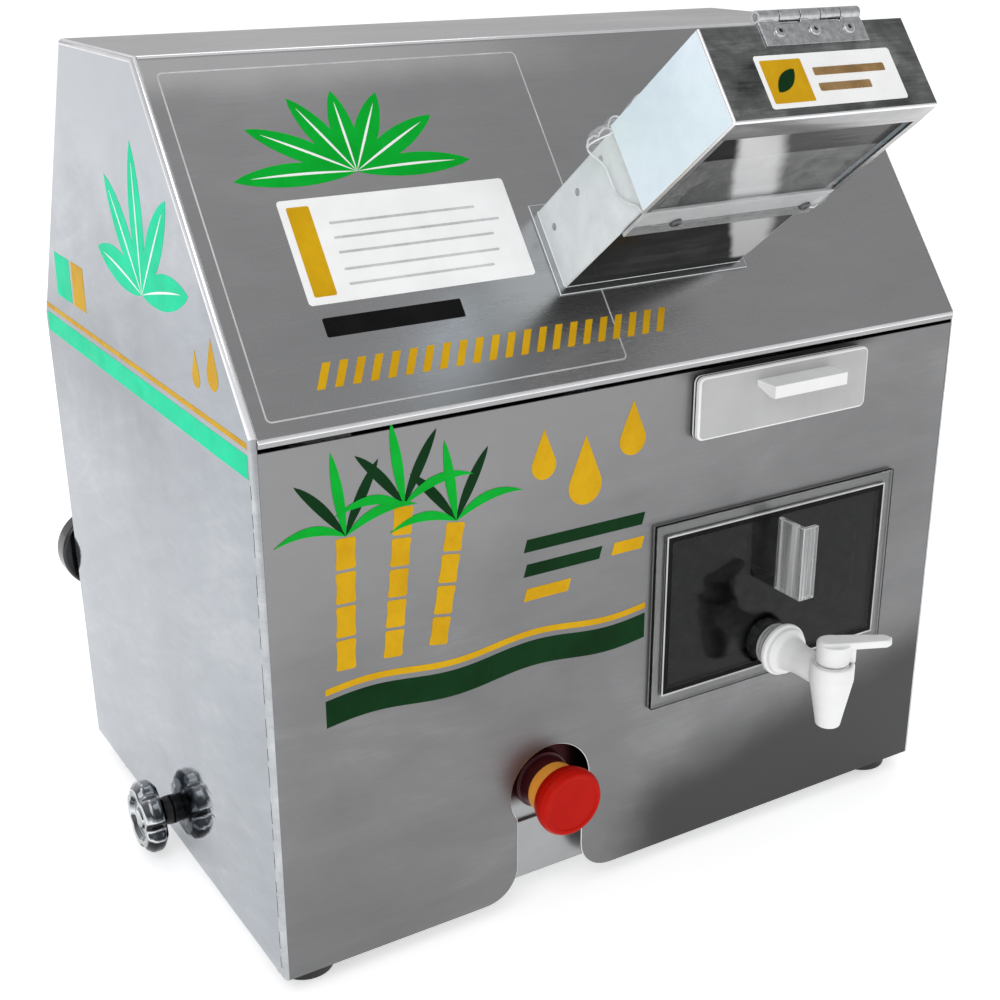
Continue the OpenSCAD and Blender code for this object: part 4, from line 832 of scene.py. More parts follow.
# The rounded rims take the painted highlight steel
hoodRims = {
    "width": hood["rim"] * mm, "segments": 3, "limit_method": "ANGLE", "angle_limit": math.radians(60),
    "material": 3,
}
makePiece(
    "feed_hood_shell", hoodForm(), [wallSteel, capSteel, lipSteel, edgeSteel], "hood", ("feed_hood",),
    place=onSlope,
    finishing=(("SOLIDIFY", {"thickness": hood["skin"] * mm, "offset": -1.0}), ("BEVEL", hoodRims)),
)
chute = {"corner": 1.1, "edge": 0.35, "flange": 3.0, "frontReach": 51.0, "longEdge": 40.0}
duct = copyOf("feed_duct")


def alongChute(edge):
    run = edge.verts[1].co - edge.verts[0].co
    return abs(run.normalized().dot(chuteAxis)) > 0.99 and run.length > chute["longEdge"]


# Its finishes in order: the walls, the front wall and the flange on the slope; walls and front wall are one
# steel, toned apart as painted light and painted reflection
for face in duct.faces:
    reach = face.calc_center_median() - foldLine
    isFront = face.normal.dot(upSlope) < -0.95 and reach.dot(upSlope) < chute["frontReach"]
    isFlange = reach.dot(chuteAxis) < chute["flange"]
    face.material_index = 2 if isFlange else 1 if isFront else 0
softEdges(duct, chute["corner"], segments=4, least=60, chosen=alongChute)
softEdges(duct, chute["edge"], least=60)
makePiece("feed_duct_tube", duct, [ductWallSteel, ductSteel, slopeSteel], "cabinet", ("feed_duct",))
for node in ("hinge_fixed_leaf", "hinge_moving_leaf"):
    softPiece(node, screwSteel, width=0.25, least=60)
hinge = {
    "screwX": (6.2, 26.8, 47.4), "screwS": 89.5, "leafTop": 167.2, "screw": (3.2, 1.1, 3.0),
    "recess": ((0, 0.75), (1.2, 0.75), (1.45, 0.4), (0, 0.4)),
}
anyTurn = 6.28
hingeSpots = [(onSlope, (x, hinge["screwS"], hinge["leafTop"]), (0, 0, 1)) for x in hinge["screwX"]]
scattered(
    "hinge_screw_heads", screwForm(*hinge["screw"]), hingeSpots, screwSteel, "hood", ("hinge_screws",),
    turn=anyTurn,
)
# Painted shade: a dark disc in each screw head's recess
recess = bmesh.new()
addTurned(recess, hinge["recess"], steps=20)
scattered("hinge_screw_recesses", recess, hingeSpots, seamDark, "hood", slot="machine_steel")
welds = {
    "spots": ((87.0, 67.0), (84.0, 40.0), (80.0, 11.0)), "x": -34.7,
    "profile": ((0, 0.1), (1.0, 0.125), (1.6, 0.25), (2.0, 0.0), (0, -0.1)),
}
weld = bmesh.new()
addTurned(weld, welds["profile"], steps=20)
scattered(
    "duct_weld_marks", weld, [(onSlope, (welds["x"], s, n), (-1, 0, 0)) for s, n in welds["spots"]],
    innerSteel, "cabinet", slot="machine_steel",
)

# Clear sleeve: a soft band round the chute that flares out below the hood, with a thick hem; beads along two
# creases are painted highlights
sleeve = {
    "x": (-36.0, 82.6), "s": (48.7, 95.3), "corner": 3.0, "low": 70.2, "high": 130.2, "film": 0.45,
    "levels": 26, "step": 1.6, "free": 86.0, "rearFree": 110.0, "flare": 9.0, "hem": 0.55,
    "dip": (13.0, 9.0), "leftBulge": (6.0, 6.0), "rearBulge": (-7.0, 7.0), "rightBulge": (0.45, 7.0),
    "upperBulge": (0.7, -8.0, 7.0), "openFoot": 0.25,
    "creases": ((-5, (1, 0, 0)), (4, (0, 1, 0))), "creaseShare": 0.8,
}


def evenLoop(outline, step):
    # Points at even steps along a closed outline
    spots = [Vector(p) for p in outline] + [Vector(outline[0])]
    loop, left = [], 0.0
    for a, b in zip(spots, spots[1:]):
        reach = (b - a).length
        while left < reach:
            loop.append(a.lerp(b, left / reach))
            left += step
        left -= reach
    return loop


def addTube(form, path, radius, reference, index=0, closed=True, sides=8):
    # A round bead along a path that stays clear of the reference direction
    rings = []
    last = len(path) - 1
    for i, spot in enumerate(path):
        before = path[i - 1] if closed else path[max(0, i - 1)]
        after = path[(i + 1) % len(path)] if closed else path[min(last, i + 1)]
        along = (after - before).normalized()
        across = along.cross(Vector(reference)).normalized()
        up = across.cross(along)
        spokes = [math.cos(a) * across + math.sin(a) * up for a in fullTurn(sides)]
        rings.append([form.verts.new(spot + radius * spoke) for spoke in spokes])
    if closed:
        joinLoops(form, rings[-1:] + rings, index)
        return
    for end in (rings[0], rings[-1]):
        form.faces.new(end).material_index = index
    joinLoops(form, rings, index)


def bump(at, middle, width):
    return math.exp(-((at - middle) / width) ** 2)


def arch(at, low, high, start):
    # Half a wave between two heights; start leaves its foot open
    share = (at - low) / (high - low)
    return math.sin(math.pi * (start + (1 - start) * share)) if 0 <= share <= 1 else 0.0


def sleeveRows():
    # Starts at the rear left corner and runs down the left wall, along the front and back round
    (x0, x1), (s0, s1) = sleeve["x"], sleeve["s"]
    loop = evenLoop(softened([(x0, s1), (x0, s0), (x1, s0), (x1, s1)], sleeve["corner"]), sleeve["step"])
    length = len(loop) * sleeve["step"]
    leftWall = s1 - s0
    rightCorner = leftWall + x1 - x0
    (dip, dipWide), (rightShare, rightWide) = sleeve["dip"], sleeve["rightBulge"]
    upperShare, *upperBulge = sleeve["upperBulge"]
    rows = []
    for level in range(sleeve["levels"] + 1):
        row = []
        for i, spot in enumerate(loop):
            run = i * sleeve["step"]
            back = run - length
            along = (loop[(i + 1) % len(loop)] - loop[i - 1]).normalized()
            outward = Vector((along.y, -along.x))
            low = sleeve["low"] + dip * bump(run, leftWall, dipWide)
            n = low + (sleeve["high"] - low) * level / sleeve["levels"]
            lower = bump(run, *sleeve["leftBulge"]) + bump(back, *sleeve["rearBulge"])
            lower += rightShare * bump(run, rightCorner, rightWide)
            upper = upperShare * bump(back, *upperBulge)
            swell = lower * arch(n, low, sleeve["free"], sleeve["openFoot"])
            swell += upper * arch(n, sleeve["free"], sleeve["rearFree"], 0.0)
            spot = spot + outward * sleeve["flare"] * swell
            row.append(Vector((spot.x, spot.y, n)))
        rows.append(row)
    return rows


def sleeveForm():
    form = bmesh.new()
    rows = sleeveRows()
    joinLoops(form, [[form.verts.new(spot) for spot in row] for row in rows])
    bmesh.ops.solidify(form, geom=form.faces[:], thickness=sleeve["film"])
    addTube(form, rows[0], sleeve["hem"], (0, 0, 1), 1)
    # White beads along the creases: painted highlights
    for column, reference in sleeve["creases"]:
        crease = [row[column] for row in rows if row[column].z < sleeve["rearFree"]]
        addTube(form, crease, sleeve["hem"] * sleeve["creaseShare"], reference, 1, closed=False)
    return form


makePiece(
    "clear_sleeve_film", sleeveForm(), [clearVinyl, hemVinyl], "cabinet", ("clear_sleeve",), place=onSlope,
    smooth=60,
)
# The strip's upper half and rounded edges take milky acrylic as painted highlight; below its screws it is
# clearer
strip = {"front": 46.7, "screwX": (-10.3, 72.3), "screwN": 73.2, "screw": (3.2, 1.8, 3.5), "edge": 0.5}
stripForm = copyOf("sleeve_strip")
stripMiddle = foldLine + chuteAxis * strip["screwN"]
cutThrough(stripForm, stripMiddle, chuteAxis)
for face in stripForm.faces:
    isLower = (face.calc_center_median() - stripMiddle).dot(chuteAxis) < 0
    face.material_index = 0 if isLower and abs(face.normal.dot(upSlope)) > 0.95 else 1
softEdges(stripForm, strip["edge"], segments=3, least=60, index=1)
makePiece("sleeve_strip_bar", stripForm, [stripAcrylic, milkyAcrylic], "cabinet", ("sleeve_strip",))
scattered(
    "sleeve_screw_heads", screwForm(*strip["screw"]),
    [(onSlope, (x, strip["front"], strip["screwN"]), (0, -1, 0)) for x in strip["screwX"]],
    castIron, "cabinet", ("sleeve_screws",), turn=anyTurn,
)
print("feed chute made")


# Drawer and tank

drawer = {
    "x": (29.0, 151.0), "z": (265.0, 301.0), "corner": 4.0, "back": 1.0, "front": 6.0, "soft": 1.2,
    "groove": (2.2, 3.2), "grooveDeep": 1.4, "roundSteps": 5, "gripX": (69.0, 121.0), "gripEdge": 0.9,
    "grip": ((5.4, 294.0), (21.0, 294.0), (21.0, 287.0), (17.0, 287.0), (5.4, 291.0)),
}


def plateRing(inset, height):
    (x0, x1), (z0, z1) = drawer["x"], drawer["z"]
    outline = boxOutline(x0 + inset, z0 + inset, x1 - inset, z1 - inset, drawer["corner"] - inset)
    return [(u, v, height) for u, v in outline]


drawerForm = bmesh.new()
soft, deep, steps = drawer["soft"], drawer["grooveDeep"], drawer["roundSteps"]
grooveLow, grooveHigh = drawer["groove"]
rows = [(0, drawer["back"]), (0, grooveLow), (deep, grooveLow), (deep, grooveHigh), (0, grooveHigh)]
quarter = [math.radians(90) * k / steps for k in range(steps + 1)]
rows += [(soft * (1 - math.cos(a)), drawer["front"] - soft * (1 - math.sin(a))) for a in quarter]
# The plate's front takes a darker plastic as painted shade, its rounded rim the white plastic as painted
# highlight, and the groove painted dark shade
addLoft(drawerForm, [plateRing(*row) for row in rows], [1, 2, 2, 2] + [1] * len(quarter), (1, 0))
gripForm = bmesh.new()
# The grip takes the white plastic as a painted highlight
addPrism(gripForm, drawer["grip"], *drawer["gripX"], 1)
softEdges(gripForm, drawer["gripEdge"], segments=3, least=20)
sideways = Matrix(((0, 0, 1, 0), (0, 1, 0, 0), (1, 0, 0, 0), (0, 0, 0, 1)))
bmesh.ops.transform(gripForm, matrix=sideways, verts=gripForm.verts)
gripMesh = bpy.data.meshes.new("grip")
gripForm.to_mesh(gripMesh)
gripForm.free()
drawerForm.from_mesh(gripMesh)
bpy.data.meshes.remove(gripMesh)
makePiece(
    "drawer_front_moulding", drawerForm, [drawerPlastic, whitePlastic, seamDark], "drawer", ("drawer_front",),
    place=onFront,
)
softPiece("drawer_tray", whitePlastic, width=0.5, least=60)
# The tank's finishes in order: its flange, the window, painted dark shade, a painted highlight line round the
# window and the walls; the window is tinted darker than the walls as painted shade of the dark inside, and
# the inner walls near the front and the flange's outer sides are painted black as shade
tank = {
    "x": (14.5, 175.5), "z": (114.0, 211.0), "wall": 3.0, "paintedShadeDepth": 14.0, "bead": 1.0, "hair": 0.05,
    "edge": 0.7, "pullEdge": 0.6,
}
(tankX0, tankX1), (tankZ0, tankZ1), tankWall = tank["x"], tank["z"], tank["wall"]
tankLines = (-tank["bead"], 0.0, tankWall)
cuts = [((0, tank["paintedShadeDepth"], 0), (0, 1, 0))]
cuts += [((x, 0, 0), (1, 0, 0)) for line in tankLines for x in (tankX0 + line, tankX1 - line)]
cuts += [((0, 0, z), (0, 0, 1)) for line in tankLines for z in (tankZ0 + line, tankZ1 - line)]
tankForm = copyOf("juice_tank")
for spot, facing in cuts:
    cutThrough(tankForm, spot, facing)
for face in tankForm.faces:
    middle = face.calc_center_median()
    inside = min(middle.x - tankX0, tankX1 - middle.x, middle.z - tankZ0, tankZ1 - middle.z)
    facesFront = abs(face.normal.y) > 0.5
    nearFront = middle.y < tank["paintedShadeDepth"]
    isShadedRim = not facesFront and inside < -tank["bead"]
    isPaintedShade = nearFront and -tank["hair"] <= inside < tankWall
    if isShadedRim or isPaintedShade:
        face.material_index = 2
    elif facesFront and nearFront and -tank["bead"] < inside < 0:
        face.material_index = 3
    elif nearFront and inside < 0:
        face.material_index = 0
    else:
        face.material_index = 1 if facesFront and nearFront else 4
softEdges(tankForm, tank["edge"], segments=3, least=60)
makePiece(
    "juice_tank_moulding", tankForm, [flangeAcrylic, smokyAcrylic, blackInk, filmEdge, clearAcrylic], "tank",
    ("juice_tank",),
)
pullForm = copyOf("tank_pull")
# The pull's rounded edges take the milky acrylic as painted highlight
softEdges(pullForm, tank["pullEdge"], segments=3, least=60, index=1)
makePiece("tank_pull_moulding", pullForm, [pullAcrylic, milkyAcrylic], "tank", ("tank_pull",))
print("drawer and tank made")


# Tap

tap = {
    "x": 95.0, "z": 126.0, "bodyY": -54.3, "flangeBack": -11.3, "leverZ": 135.8, "leverAngle": 27.0,
    "paddle": (9.8, 14.2), "paddleRound": 1.3, "rib": (0.4, 11.5), "voxel": 0.5, "leverVoxel": 0.45,
    "ridges": 3, "ridgeFrom": 3.6, "ridgePitch": 2.5, "nutScoops": (12, 1.2, 13.4),
}
alongNeck = Matrix.Translation((tap["x"], 0, tap["z"])) @ facingFront
upright = Matrix.Translation((tap["x"], tap["bodyY"], tap["z"]))


def moulding(voxel, rounds=3):
    # Melts the overlapping solids into one soft form
    return (
        ("REMESH", {"mode": "VOXEL", "voxel_size": voxel * mm, "use_smooth_shade": True}),
        ("SMOOTH", {"factor": 0.5, "iterations": rounds}),
    )


tapForm = bmesh.new()
flangeBack = -tap["flangeBack"]
neckEnd = -tap["bodyY"]
flange = softened([
    (0, -9.0), (7.9, -9.0), (7.9, flangeBack), (15.9, flangeBack), (15.9, flangeBack + 3.4),
    (14.2, flangeBack + 3.4), (14.2, flangeBack + 6.2), (10.6, flangeBack + 7.6), (8.8, flangeBack + 17),
    (8.8, neckEnd - 6), (0, neckEnd - 6),
], [0, 0.6, 0, 0.8, 0.6, 0.6, 1.2, 3.0, 9.0, 0.5, 0], False)
addTurned(tapForm, flange, alongNeck)
spout = softened([
    (0, -14), (4.5, -14), (4.5, -30), (7.0, -30), (8.6, -21), (12.6, 0), (12.6, 9.5), (10.4, 9.5),
    (10.4, 7.6), (9.4, 7.6), (9.4, 9.2), (0, 9.2),
], [0, 0.4, 0.8, 1.2, 8.0, 4.0, 0.7, 0.4, 0.3, 0.3, 0.4, 0], False)
addTurned(tapForm, spout, upright)
makePiece(
    "tap_body_moulding", tapForm, whitePlastic, "tank", ("tap_body",), smooth=70,
    finishing=moulding(tap["voxel"]),
)

leverForm = bmesh.new()
leverTurn = Matrix.Rotation(-math.radians(tap["leverAngle"]), 4, "Z")
toLever = Matrix.Translation((tap["x"], tap["bodyY"], tap["leverZ"])) @ leverTurn
boss = softened([(0, 0.1), (9.4, 0.1), (9.8, 12.5), (0, 12.5)], [0, 0.8, 0, 0], False)
addTurned(leverForm, boss, steps=48)
paddle = softened([(-9, -6), (7, -5.6), (33, -4), (33, 4), (7, 5.6), (-9, 6)], [4.5, 12, 3.6, 3.6, 12, 4.5])
faces = addPrism(leverForm, paddle, *tap["paddle"])
rims = {edge for face in faces[:2] for edge in face.edges}
roundOff(leverForm, list(rims), tap["paddleRound"], segments=3)
addPrism(leverForm, boxOutline(9.5, -3, 12.5, 3, 0.8, 3), *tap["rib"])
makePiece(
    "tap_lever_moulding", leverForm, whitePlastic, "tap_lever", ("tap_lever",), smooth=70,
    place=inCabinet @ toLever, finishing=moulding(tap["leverVoxel"]),
)
nutForm = bmesh.new()
ridge = [(8.1, 3.3), (12.2, 3.3)]
for k in range(tap["ridges"]):
    low = tap["ridgeFrom"] + k * tap["ridgePitch"]
    tooth = [(11.4, low), (13.0, low + 0.3), (13.0, low + 1.7), (11.4, low + 2.0)]
    ridge += softened(tooth, [0, 0.5, 0.5, 0], False, 3)
addTurned(nutForm, ridge + [(12.2, 11.2), (8.1, 11.2), (8.1, 3.3)], alongNeck)
innerNut = softened([(8.1, -6), (13.4, -6), (13.4, -0.05), (8.1, -0.05)], [0, 1.0, 0.6, 0], False, 4)
addTurned(nutForm, innerNut + innerNut[:1], alongNeck, 96, scoops=tap["nutScoops"])
bmesh.ops.remove_doubles(nutForm, verts=nutForm.verts, dist=0.001)
makePiece("tap_nut_rings", nutForm, greyPlastic, "tank", ("tap_nuts",))
print("tap made")


# Stop button

stop = {"x": -59.5, "z": 76.0, "stem": 6.1, "split": 1.05}
atStop = inCabinet @ Matrix.Translation((stop["x"], 0, stop["z"])) @ facingFront
headForm = bmesh.new()
head = softened([
    (0, 21.3), (stop["stem"], 21.3), (stop["stem"], 19.6), (16.6, 19.6), (16.6, 11), (18.2, 11), (19.8, 16),
    (20, 19.4), (18.4, 22.6), (16.2, 22.6), (15.4, 22), (0, 22.1),
], [0, 0.2, 0.3, 0.5, 0.3, 0.6, 5.0, 2.0, 1.6, 0.5, 0.5, 0], False)
addTurned(headForm, head, steps=96)
makePiece("stop_head_moulding", headForm, redPlastic, "stop_head", ("stop_head",), place=atStop, smooth=50)
collarForm = bmesh.new()
collar = softened([
    (stop["stem"], 14.3), (15.5, 14.3), (15.5, 1), (15.3, 1), (15.3, -8), (17, -8), (17, -12), (11, -12),
    (11, -26), (stop["stem"], -26),
], [0, 1.0, 0.1, 0.1, 0.4, 0.6, 0.4, 0.4, 0.6, 0], False)
addTurned(collarForm, collar + collar[:1], steps=96)
bmesh.ops.remove_doubles(collarForm, verts=collarForm.verts, dist=0.001)
# The collar's rear part takes a dark maroon plastic as painted shadow with a painted red reflection
for face in collarForm.faces:
    face.material_index = 1 if face.calc_center_median().z < stop["split"] else 0
makePiece(
    "stop_collar_moulding", collarForm, [yellowPlastic, maroonPlastic], "cabinet", ("stop_collar",),
    place=atStop,
)
print("stop button made")


# Knobs, gland and feet

knob = {"y": 166.0, "z": 26.0, "scoops": (5, 4.2, 22.0)}
knobHub = softened([
    (0, -14), (4, -14), (4, 0.1), (9, 0.1), (8.4, 4), (8.4, 8), (0, 8),
], [0, 0.5, 0.2, 0.8, 3, 0, 0], False)
knobDisc = softened([
    (0, 6.6), (12, 6.6), (18, 7.4), (22, 10.5), (22, 16.5), (18.5, 20.4), (14, 20.4), (11.5, 18), (6.5, 18),
    (5.6, 19.4), (0, 19.6),
], [0, 2, 4, 3.5, 4, 3, 1.6, 2, 0.6, 0.8, 0], False)
for node, side in (("left_knob", -1), ("right_knob", 1)):
    form = bmesh.new()
    addTurned(form, knobDisc, steps=160, scoops=knob["scoops"])
    addTurned(form, knobHub, index=1)
    outward = Matrix((
        (0, 0, side, side * cabinet["half"]), (side, 0, 0, knob["y"]), (0, 1, 0, knob["z"]), (0, 0, 0, 1),
    ))
    finishes = [knobChrome, blackPlastic]
    makePiece(node + "_star", form, finishes, node, (node,), place=inCabinet @ outward, smooth=45)
softPiece("rear_knob", glossBlack, width=2.0, segments=4, least=50)
softPiece("cable_gland", blackPlastic, width=0.6, least=50)
softPiece("rubber_feet", blackRubber, width=1.0, segments=3, least=50)
print("knobs and feet made")


# Printed film: cane stalks and leaves, plain bands, a blank card

ink = {"thin": 0.10, "step": 0.02, "border": 0.8}
cane = {"gap": 0.8, "ends": 0.54, "waist": 0.44, "corners": (1.4, 1.4, 40, 1.4, 1.4, 40)}


def leafOutline(root, angle, length, width, droop, steps=12):
    # A blade that bends over; its two edges meet at the root and the tip
    aim = Vector((math.cos(angle), math.sin(angle)))
    across = Vector((-aim.y, aim.x))
    left, right = [], []
    for k in range(steps + 1):
        t = k / steps
        spine = Vector(root) + aim * length * t + Vector((0, -droop * t * t))
        half = width / 2 * math.sin(math.pi * t) ** 0.75
        left.append(tuple(spine + across * half))
        right.append(tuple(spine - across * half))
    return right + left[-2:0:-1]


def jointOutlines(foot, lean, length, width, joints):
    # Cane joints with a slight waist, and a gap at each ring
    aim = Vector((math.cos(lean), math.sin(lean)))
    across = Vector((aim.y, -aim.x))
    step = length / joints
    outlines = []
    for k in range(joints):
        low = Vector(foot) + aim * (k * step + cane["gap"])
        high = Vector(foot) + aim * ((k + 1) * step - cane["gap"])
        middle = (low + high) / 2
        ends, waist = across * width * cane["ends"], across * width * cane["waist"]
        corners = [low - ends, low + ends, middle + waist, high + ends, high - ends, middle - waist]
        outlines.append(softened([tuple(c) for c in corners], cane["corners"], steps=4))
    return outlines


def dropOutline(u, v, radius, height, steps=20):
    # A round drop with its tip straight above
    angles = [math.radians(-205 + 230 * k / steps) for k in range(steps + 1)]
    return [(u + radius * math.cos(a), v + radius * math.sin(a)) for a in angles] + [(u, v + height)]


def bandOutline(u0, u1, v0, v1, slant):
    return [(u0, v0), (u1, v0), (u1 + slant, v1), (u0 + slant, v1)]


def waveOutline(u0, u1, v0, v1, swing, waves, steps=36):
    low, high = [], []
    for k in range(steps + 1):
        u = u0 + (u1 - u0) * k / steps
        rise = swing * math.sin(2 * math.pi * waves * k / steps)
        low.append((u, v0 + rise))
        high.append((u, v1 + rise))
    return low + high[::-1]


vein = {"share": 0.86, "droopShare": 0.74, "width": 1.3}


def sprigOutlines(root, blades, width):
    return [leafOutline(root, math.radians(angle), reach, width, droop) for angle, reach, droop in blades]


def veinOutlines(root, blades):
    # A thin line along each blade
    blades = [(angle, reach * vein["share"], droop * vein["droopShare"]) for angle, reach, droop in blades]
    return sprigOutlines(root, blades, vein["width"])


def printed(name, outlines, finish, place, body="cabinet", layer=1):
    # Thin flat shapes; each lies a hair above the one before, so that laps stay clean
    form = bmesh.new()
    for i, outline in enumerate(outlines):
        addPrism(form, outline, 0.0, ink["thin"] * layer + ink["step"] * i / max(1, len(outlines)))
    makePiece(name, form, finish, body, slot="clear_vinyl", place=place)


frontArt = {
    "stalks": ((-182, 182, 88, 72, 4), (-156, 182, 84, 82, 5), (-130, 182, 80, 68, 4)), "width": 10.5,
    "blades": ((38, 50, 22), (66, 46, 6), (98, 44, 0), (124, 46, 8), (148, 44, 22)), "bladeWidth": 5.6,
    "drops": ((-66, 268, 7.5, 20), (-40, 252, 10.5, 28), (-10, 272, 8.5, 22)),
    "darkWave": (-194, 2, 153, 168, 2.2, 2), "darkBars": ((-78, -2, 222, 229, 2), (-78, -30, 208, 215, 2)),
    "goldWave": (-194, 2, 171, 174.5, 2.2, 2), "goldBars": ((-22, -2, 208, 215, 2), (-78, -50, 194, 201, 2)),
}
joints, darkLeaves, brightLeaves = [], [], []
for u, v, lean, length, count in frontArt["stalks"]:
    lean = math.radians(lean)
    joints += jointOutlines((u, v), lean, length, frontArt["width"], count)
    tip = (u + length * math.cos(lean), v + length * math.sin(lean))
    leaves = sprigOutlines(tip, frontArt["blades"], frontArt["bladeWidth"])
    brightLeaves += leaves[::2]
    darkLeaves += leaves[1::2]
printed("front_art_cane", joints, goldInk, onFront)
printed("front_art_drops", [dropOutline(*drop) for drop in frontArt["drops"]], goldInk, onFront)
printed("front_art_dark_leaves", darkLeaves, darkGreenInk, onFront, layer=2)
printed("front_art_leaves", brightLeaves, leafGreenInk, onFront, layer=3)
for name, tone, finish in (("bars", "dark", darkGreenInk), ("gold_bars", "gold", goldInk)):
    bars = [waveOutline(*frontArt[tone + "Wave"])] + [bandOutline(*bar) for bar in frontArt[tone + "Bars"]]
    printed("front_art_" + name, bars, finish, onFront)

film = {"x": (-215.0, -12.0), "s": (6.0, 190.0), "corner": 3.0, "sunk": -0.1, "proud": 0.05}
(filmX0, filmX1), (filmS0, filmS1) = film["x"], film["s"]
# A light border round the film, painted highlight of its edge
border = bmesh.new()
outer = boxOutline(filmX0, filmS0, filmX1, filmS1, film["corner"])
edge = ink["border"]
inner = boxOutline(filmX0 + edge, filmS0 + edge, filmX1 - edge, filmS1 - edge, film["corner"] - edge)
levels = ((outer, film["sunk"]), (outer, film["proud"]), (inner, film["proud"]), (inner, film["sunk"]))
loops = [[border.verts.new((u, v, height)) for u, v in outline] for outline, height in levels]
joinLoops(border, loops + loops[:1])
makePiece("slope_film_edge", border, filmEdge, "cabinet", slot="clear_vinyl", place=onSlope)
sprig = {
    "root": (-128.0, 128.0), "width": 13.0,
    "blades": ((4, 66, 4), (30, 60, 2), (60, 50, 0), (90, 46, 0), (120, 50, 0), (150, 60, 2), (176, 66, 4)),
}
printed("slope_art_leaves", sprigOutlines(**sprig), leafGreenInk, onSlope)
printed("slope_art_veins", veinOutlines(sprig["root"], sprig["blades"]), cardWhite, onSlope, layer=3)
card = {
    "box": (-176, 60, -48, 116, 2.0), "strip": (-172, 64, -160, 112, 1.0),
    "darkBar": (-172, 43, -96, 53, 1.0), "ruleCorner": 0.4,
    "rules": ((68, -70), (76, -64), (85, -64), (93, -58), (101, -70)), "ruleStart": -152, "ruleHigh": 1.3,
    "dashes": 22, "dashPitch": 9.4, "dash": (-186, -181.6, 18, 31, 7),
}
rules = [
    boxOutline(card["ruleStart"], v, end, v + card["ruleHigh"], card["ruleCorner"], 2)
    for v, end in card["rules"]
]
left, right, *dashRest = card["dash"]
dashShifts = [k * card["dashPitch"] for k in range(card["dashes"])]
dashes = [bandOutline(left + shift, right + shift, *dashRest) for shift in dashShifts]
printed("slope_card", [boxOutline(*card["box"])], cardWhite, onSlope)
printed("slope_card_rules", rules, filmEdge, onSlope, layer=2)
printed("slope_card_strip", [boxOutline(*card["strip"])], goldInk, onSlope, layer=2)
printed("slope_dark_bar", [boxOutline(*card["darkBar"])], blackInk, onSlope)
printed("slope_gold_dashes", dashes, goldInk, onSlope)

sideArt = {
    "root": (-134.0, 350.0), "width": 19.0,
    "blades": ((16, 70, 6), (52, 74, 3), (90, 78, 0), (128, 74, 3), (164, 70, 6)),
}
sideBands = {
    "drops": ((-42, 330, 7, 19), (-64, 324, 5, 14)),
    "mint": ((-318, -5, 290, 302, 0), (-290, -262, 318, 344, 0)),
    "gold": ((-318, -5, 305, 308, 0), (-258, -236, 318, 344, 0)),
}
printed("side_art_leaves", sprigOutlines(**sideArt), mintInk, onLeft)
printed("side_art_veins", veinOutlines(sideArt["root"], sideArt["blades"]), cardWhite, onLeft, layer=3)
printed("side_art_drops", [dropOutline(*drop) for drop in sideBands["drops"]], goldInk, onLeft)
printed("side_art_bands", [bandOutline(*band) for band in sideBands["mint"]], mintInk, onLeft)
printed("side_art_gold_bands", [bandOutline(*band) for band in sideBands["gold"]], goldInk, onLeft)

label = {
    "box": (-14, 52, 67, 78.5, 1.5), "gold": (-11.5, 54.5, 12, 76, 0.8),
    "leaf": ((-7.0, 60.0), ((40, 17, 0),), 7), "bars": ((17, 67, 60, 71, 0.8), (17, 59, 48, 63, 0.8)),
}
onCap = onSlope @ Matrix.Translation((0, 0, hood["cap"]))
printed("cap_label", [boxOutline(*label["box"])], cardWhite, onCap, "hood")
printed("cap_label_gold", [boxOutline(*label["gold"])], goldInk, onCap, "hood", 2)
printed("cap_label_leaf", sprigOutlines(*label["leaf"]), darkGreenInk, onCap, "hood", 4)
printed("cap_label_bars", [boxOutline(*bar) for bar in label["bars"]], bushBronze, onCap, "hood", 2)
print("printed film made")


# Floor, light and camera

floorHalf = 30.0
floorCorners = [(x * floorHalf, y * floorHalf, 0) for x, y in ((-1, -1), (1, -1), (1, 1), (-1, 1))]
floorMesh = bpy.data.meshes.new("studio_floor")
floorMesh.from_pydata(floorCorners, [], [(0, 1, 2, 3)])
floor = bpy.data.objects.new("studio_floor", floorMesh)
scene.collection.objects.link(floor)
floorFinish, floorShader = newFinish("studioFloor", {"Roughness": 0.9, "Emission Strength": 0.5})
floorTone = ramped(floorFinish, noiseOf(floorFinish, 0.6), [(0.3, 0.90), (0.7, 0.93)])
feed(floorFinish, floorTone, floorShader, "Base Color")
floorShader.inputs["Emission Color"].default_value = (1.0, 1.0, 1.0, 1.0)
floorMesh.materials.append(floorFinish)

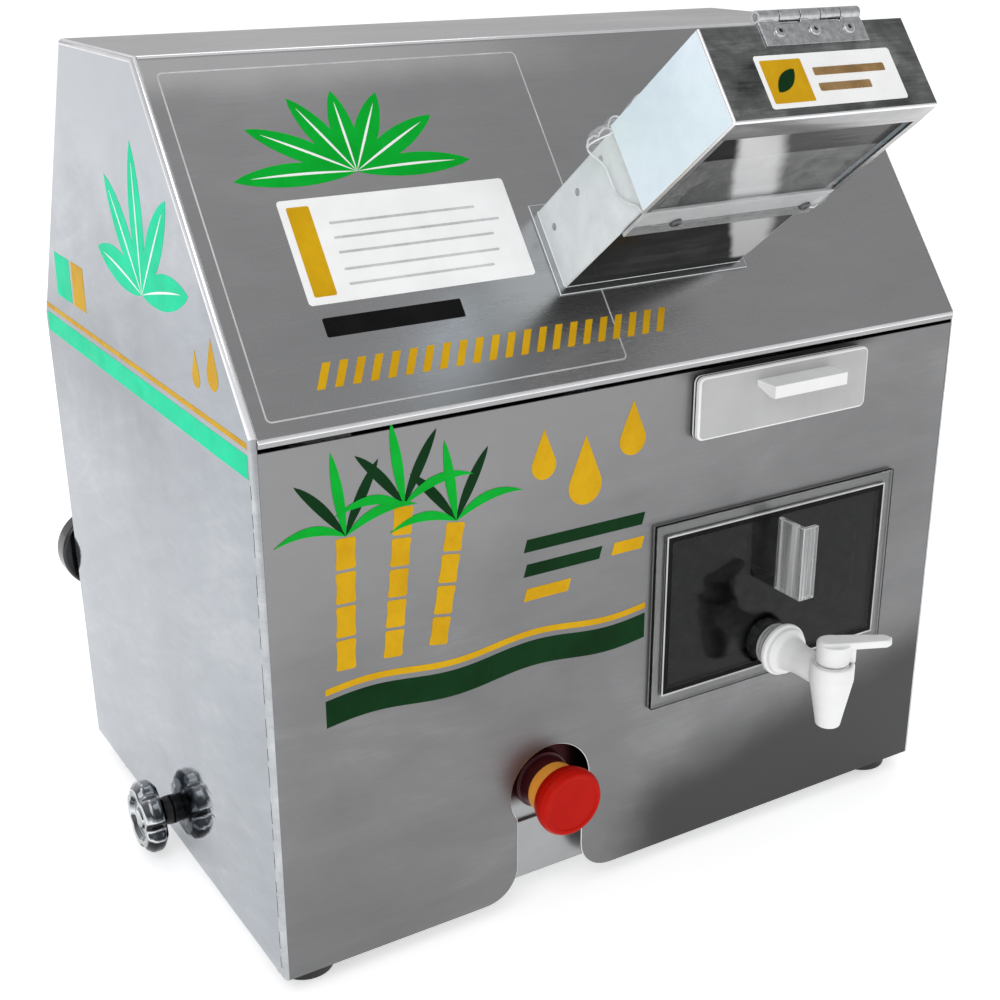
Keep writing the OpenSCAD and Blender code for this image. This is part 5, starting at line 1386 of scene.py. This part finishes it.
world = bpy.data.worlds.new("studioWorld")
scene.world = world
world.use_nodes = True
skyStops = ((0.0, 0.6), (0.5, 1.0), (0.68, 0.82), (0.85, 0.62), (1.0, 0.9))
skyBlue = 1.015
direction = addNode(world, "TexCoord").outputs["Generated"]
upward = addNode(world, "SeparateXYZ", {0: direction}).outputs["Z"]
height = ranged(world, upward, 0.0, 1.0, start=-1.0, end=1.0)
skyTone = ramped(world, height, [(spot, (level, level, level * skyBlue)) for spot, level in skyStops])
sky = world.node_tree.nodes["Background"]
feed(world, skyTone, sky, "Color")
sky.inputs["Strength"].default_value = 0.8


def addLight(name, spot, aim, size, power, colour=(1.0, 1.0, 1.0)):
    light = bpy.data.lights.new(name, "AREA")
    light.shape = "RECTANGLE"
    light.size, light.size_y = size
    light.energy = power
    light.color = colour
    light.cycles.max_bounces = 2
    made = bpy.data.objects.new(name, light)
    made.location = spot
    made.rotation_euler = (Vector(aim) - Vector(spot)).to_track_quat("-Z", "Y").to_euler()
    scene.collection.objects.link(made)


addLight(
    "keyLight", spot=(-1.9, -1.7, 2.3), aim=(0, 0, 0.25), size=(2.0, 2.0), power=30,
    colour=(0.97, 0.985, 1.0),
)
addLight("fillLight", spot=(2.4, 0.4, 0.9), aim=(0, 0, 0.25), size=(1.4, 1.8), power=5)
addLight("backLight", spot=(0.4, 2.0, 2.2), aim=(0, 0, 0.35), size=(2.2, 1.0), power=8)

view = {
    "spot": (-0.4753, -0.74323, 0.5415), "right": (0.85244, -0.52282, -0.0014),
    "up": (0.19159, 0.30990, 0.93127), "forward": (0.48645, 0.79412, -0.36434),
    "lens": 55.84, "sensor": 36.0, "far": 200.0,
}
cameraData = bpy.data.cameras.new("photoCamera")
cameraData.lens = view["lens"]
cameraData.sensor_width = view["sensor"]
cameraData.clip_end = view["far"]
camera = bpy.data.objects.new("photoCamera", cameraData)
axes = Matrix((view["right"], view["up"], [-c for c in view["forward"]])).transposed().to_4x4()
camera.matrix_world = Matrix.Translation(view["spot"]) @ axes
scene.collection.objects.link(camera)
scene.camera = camera
scene.view_settings.view_transform = "Standard"
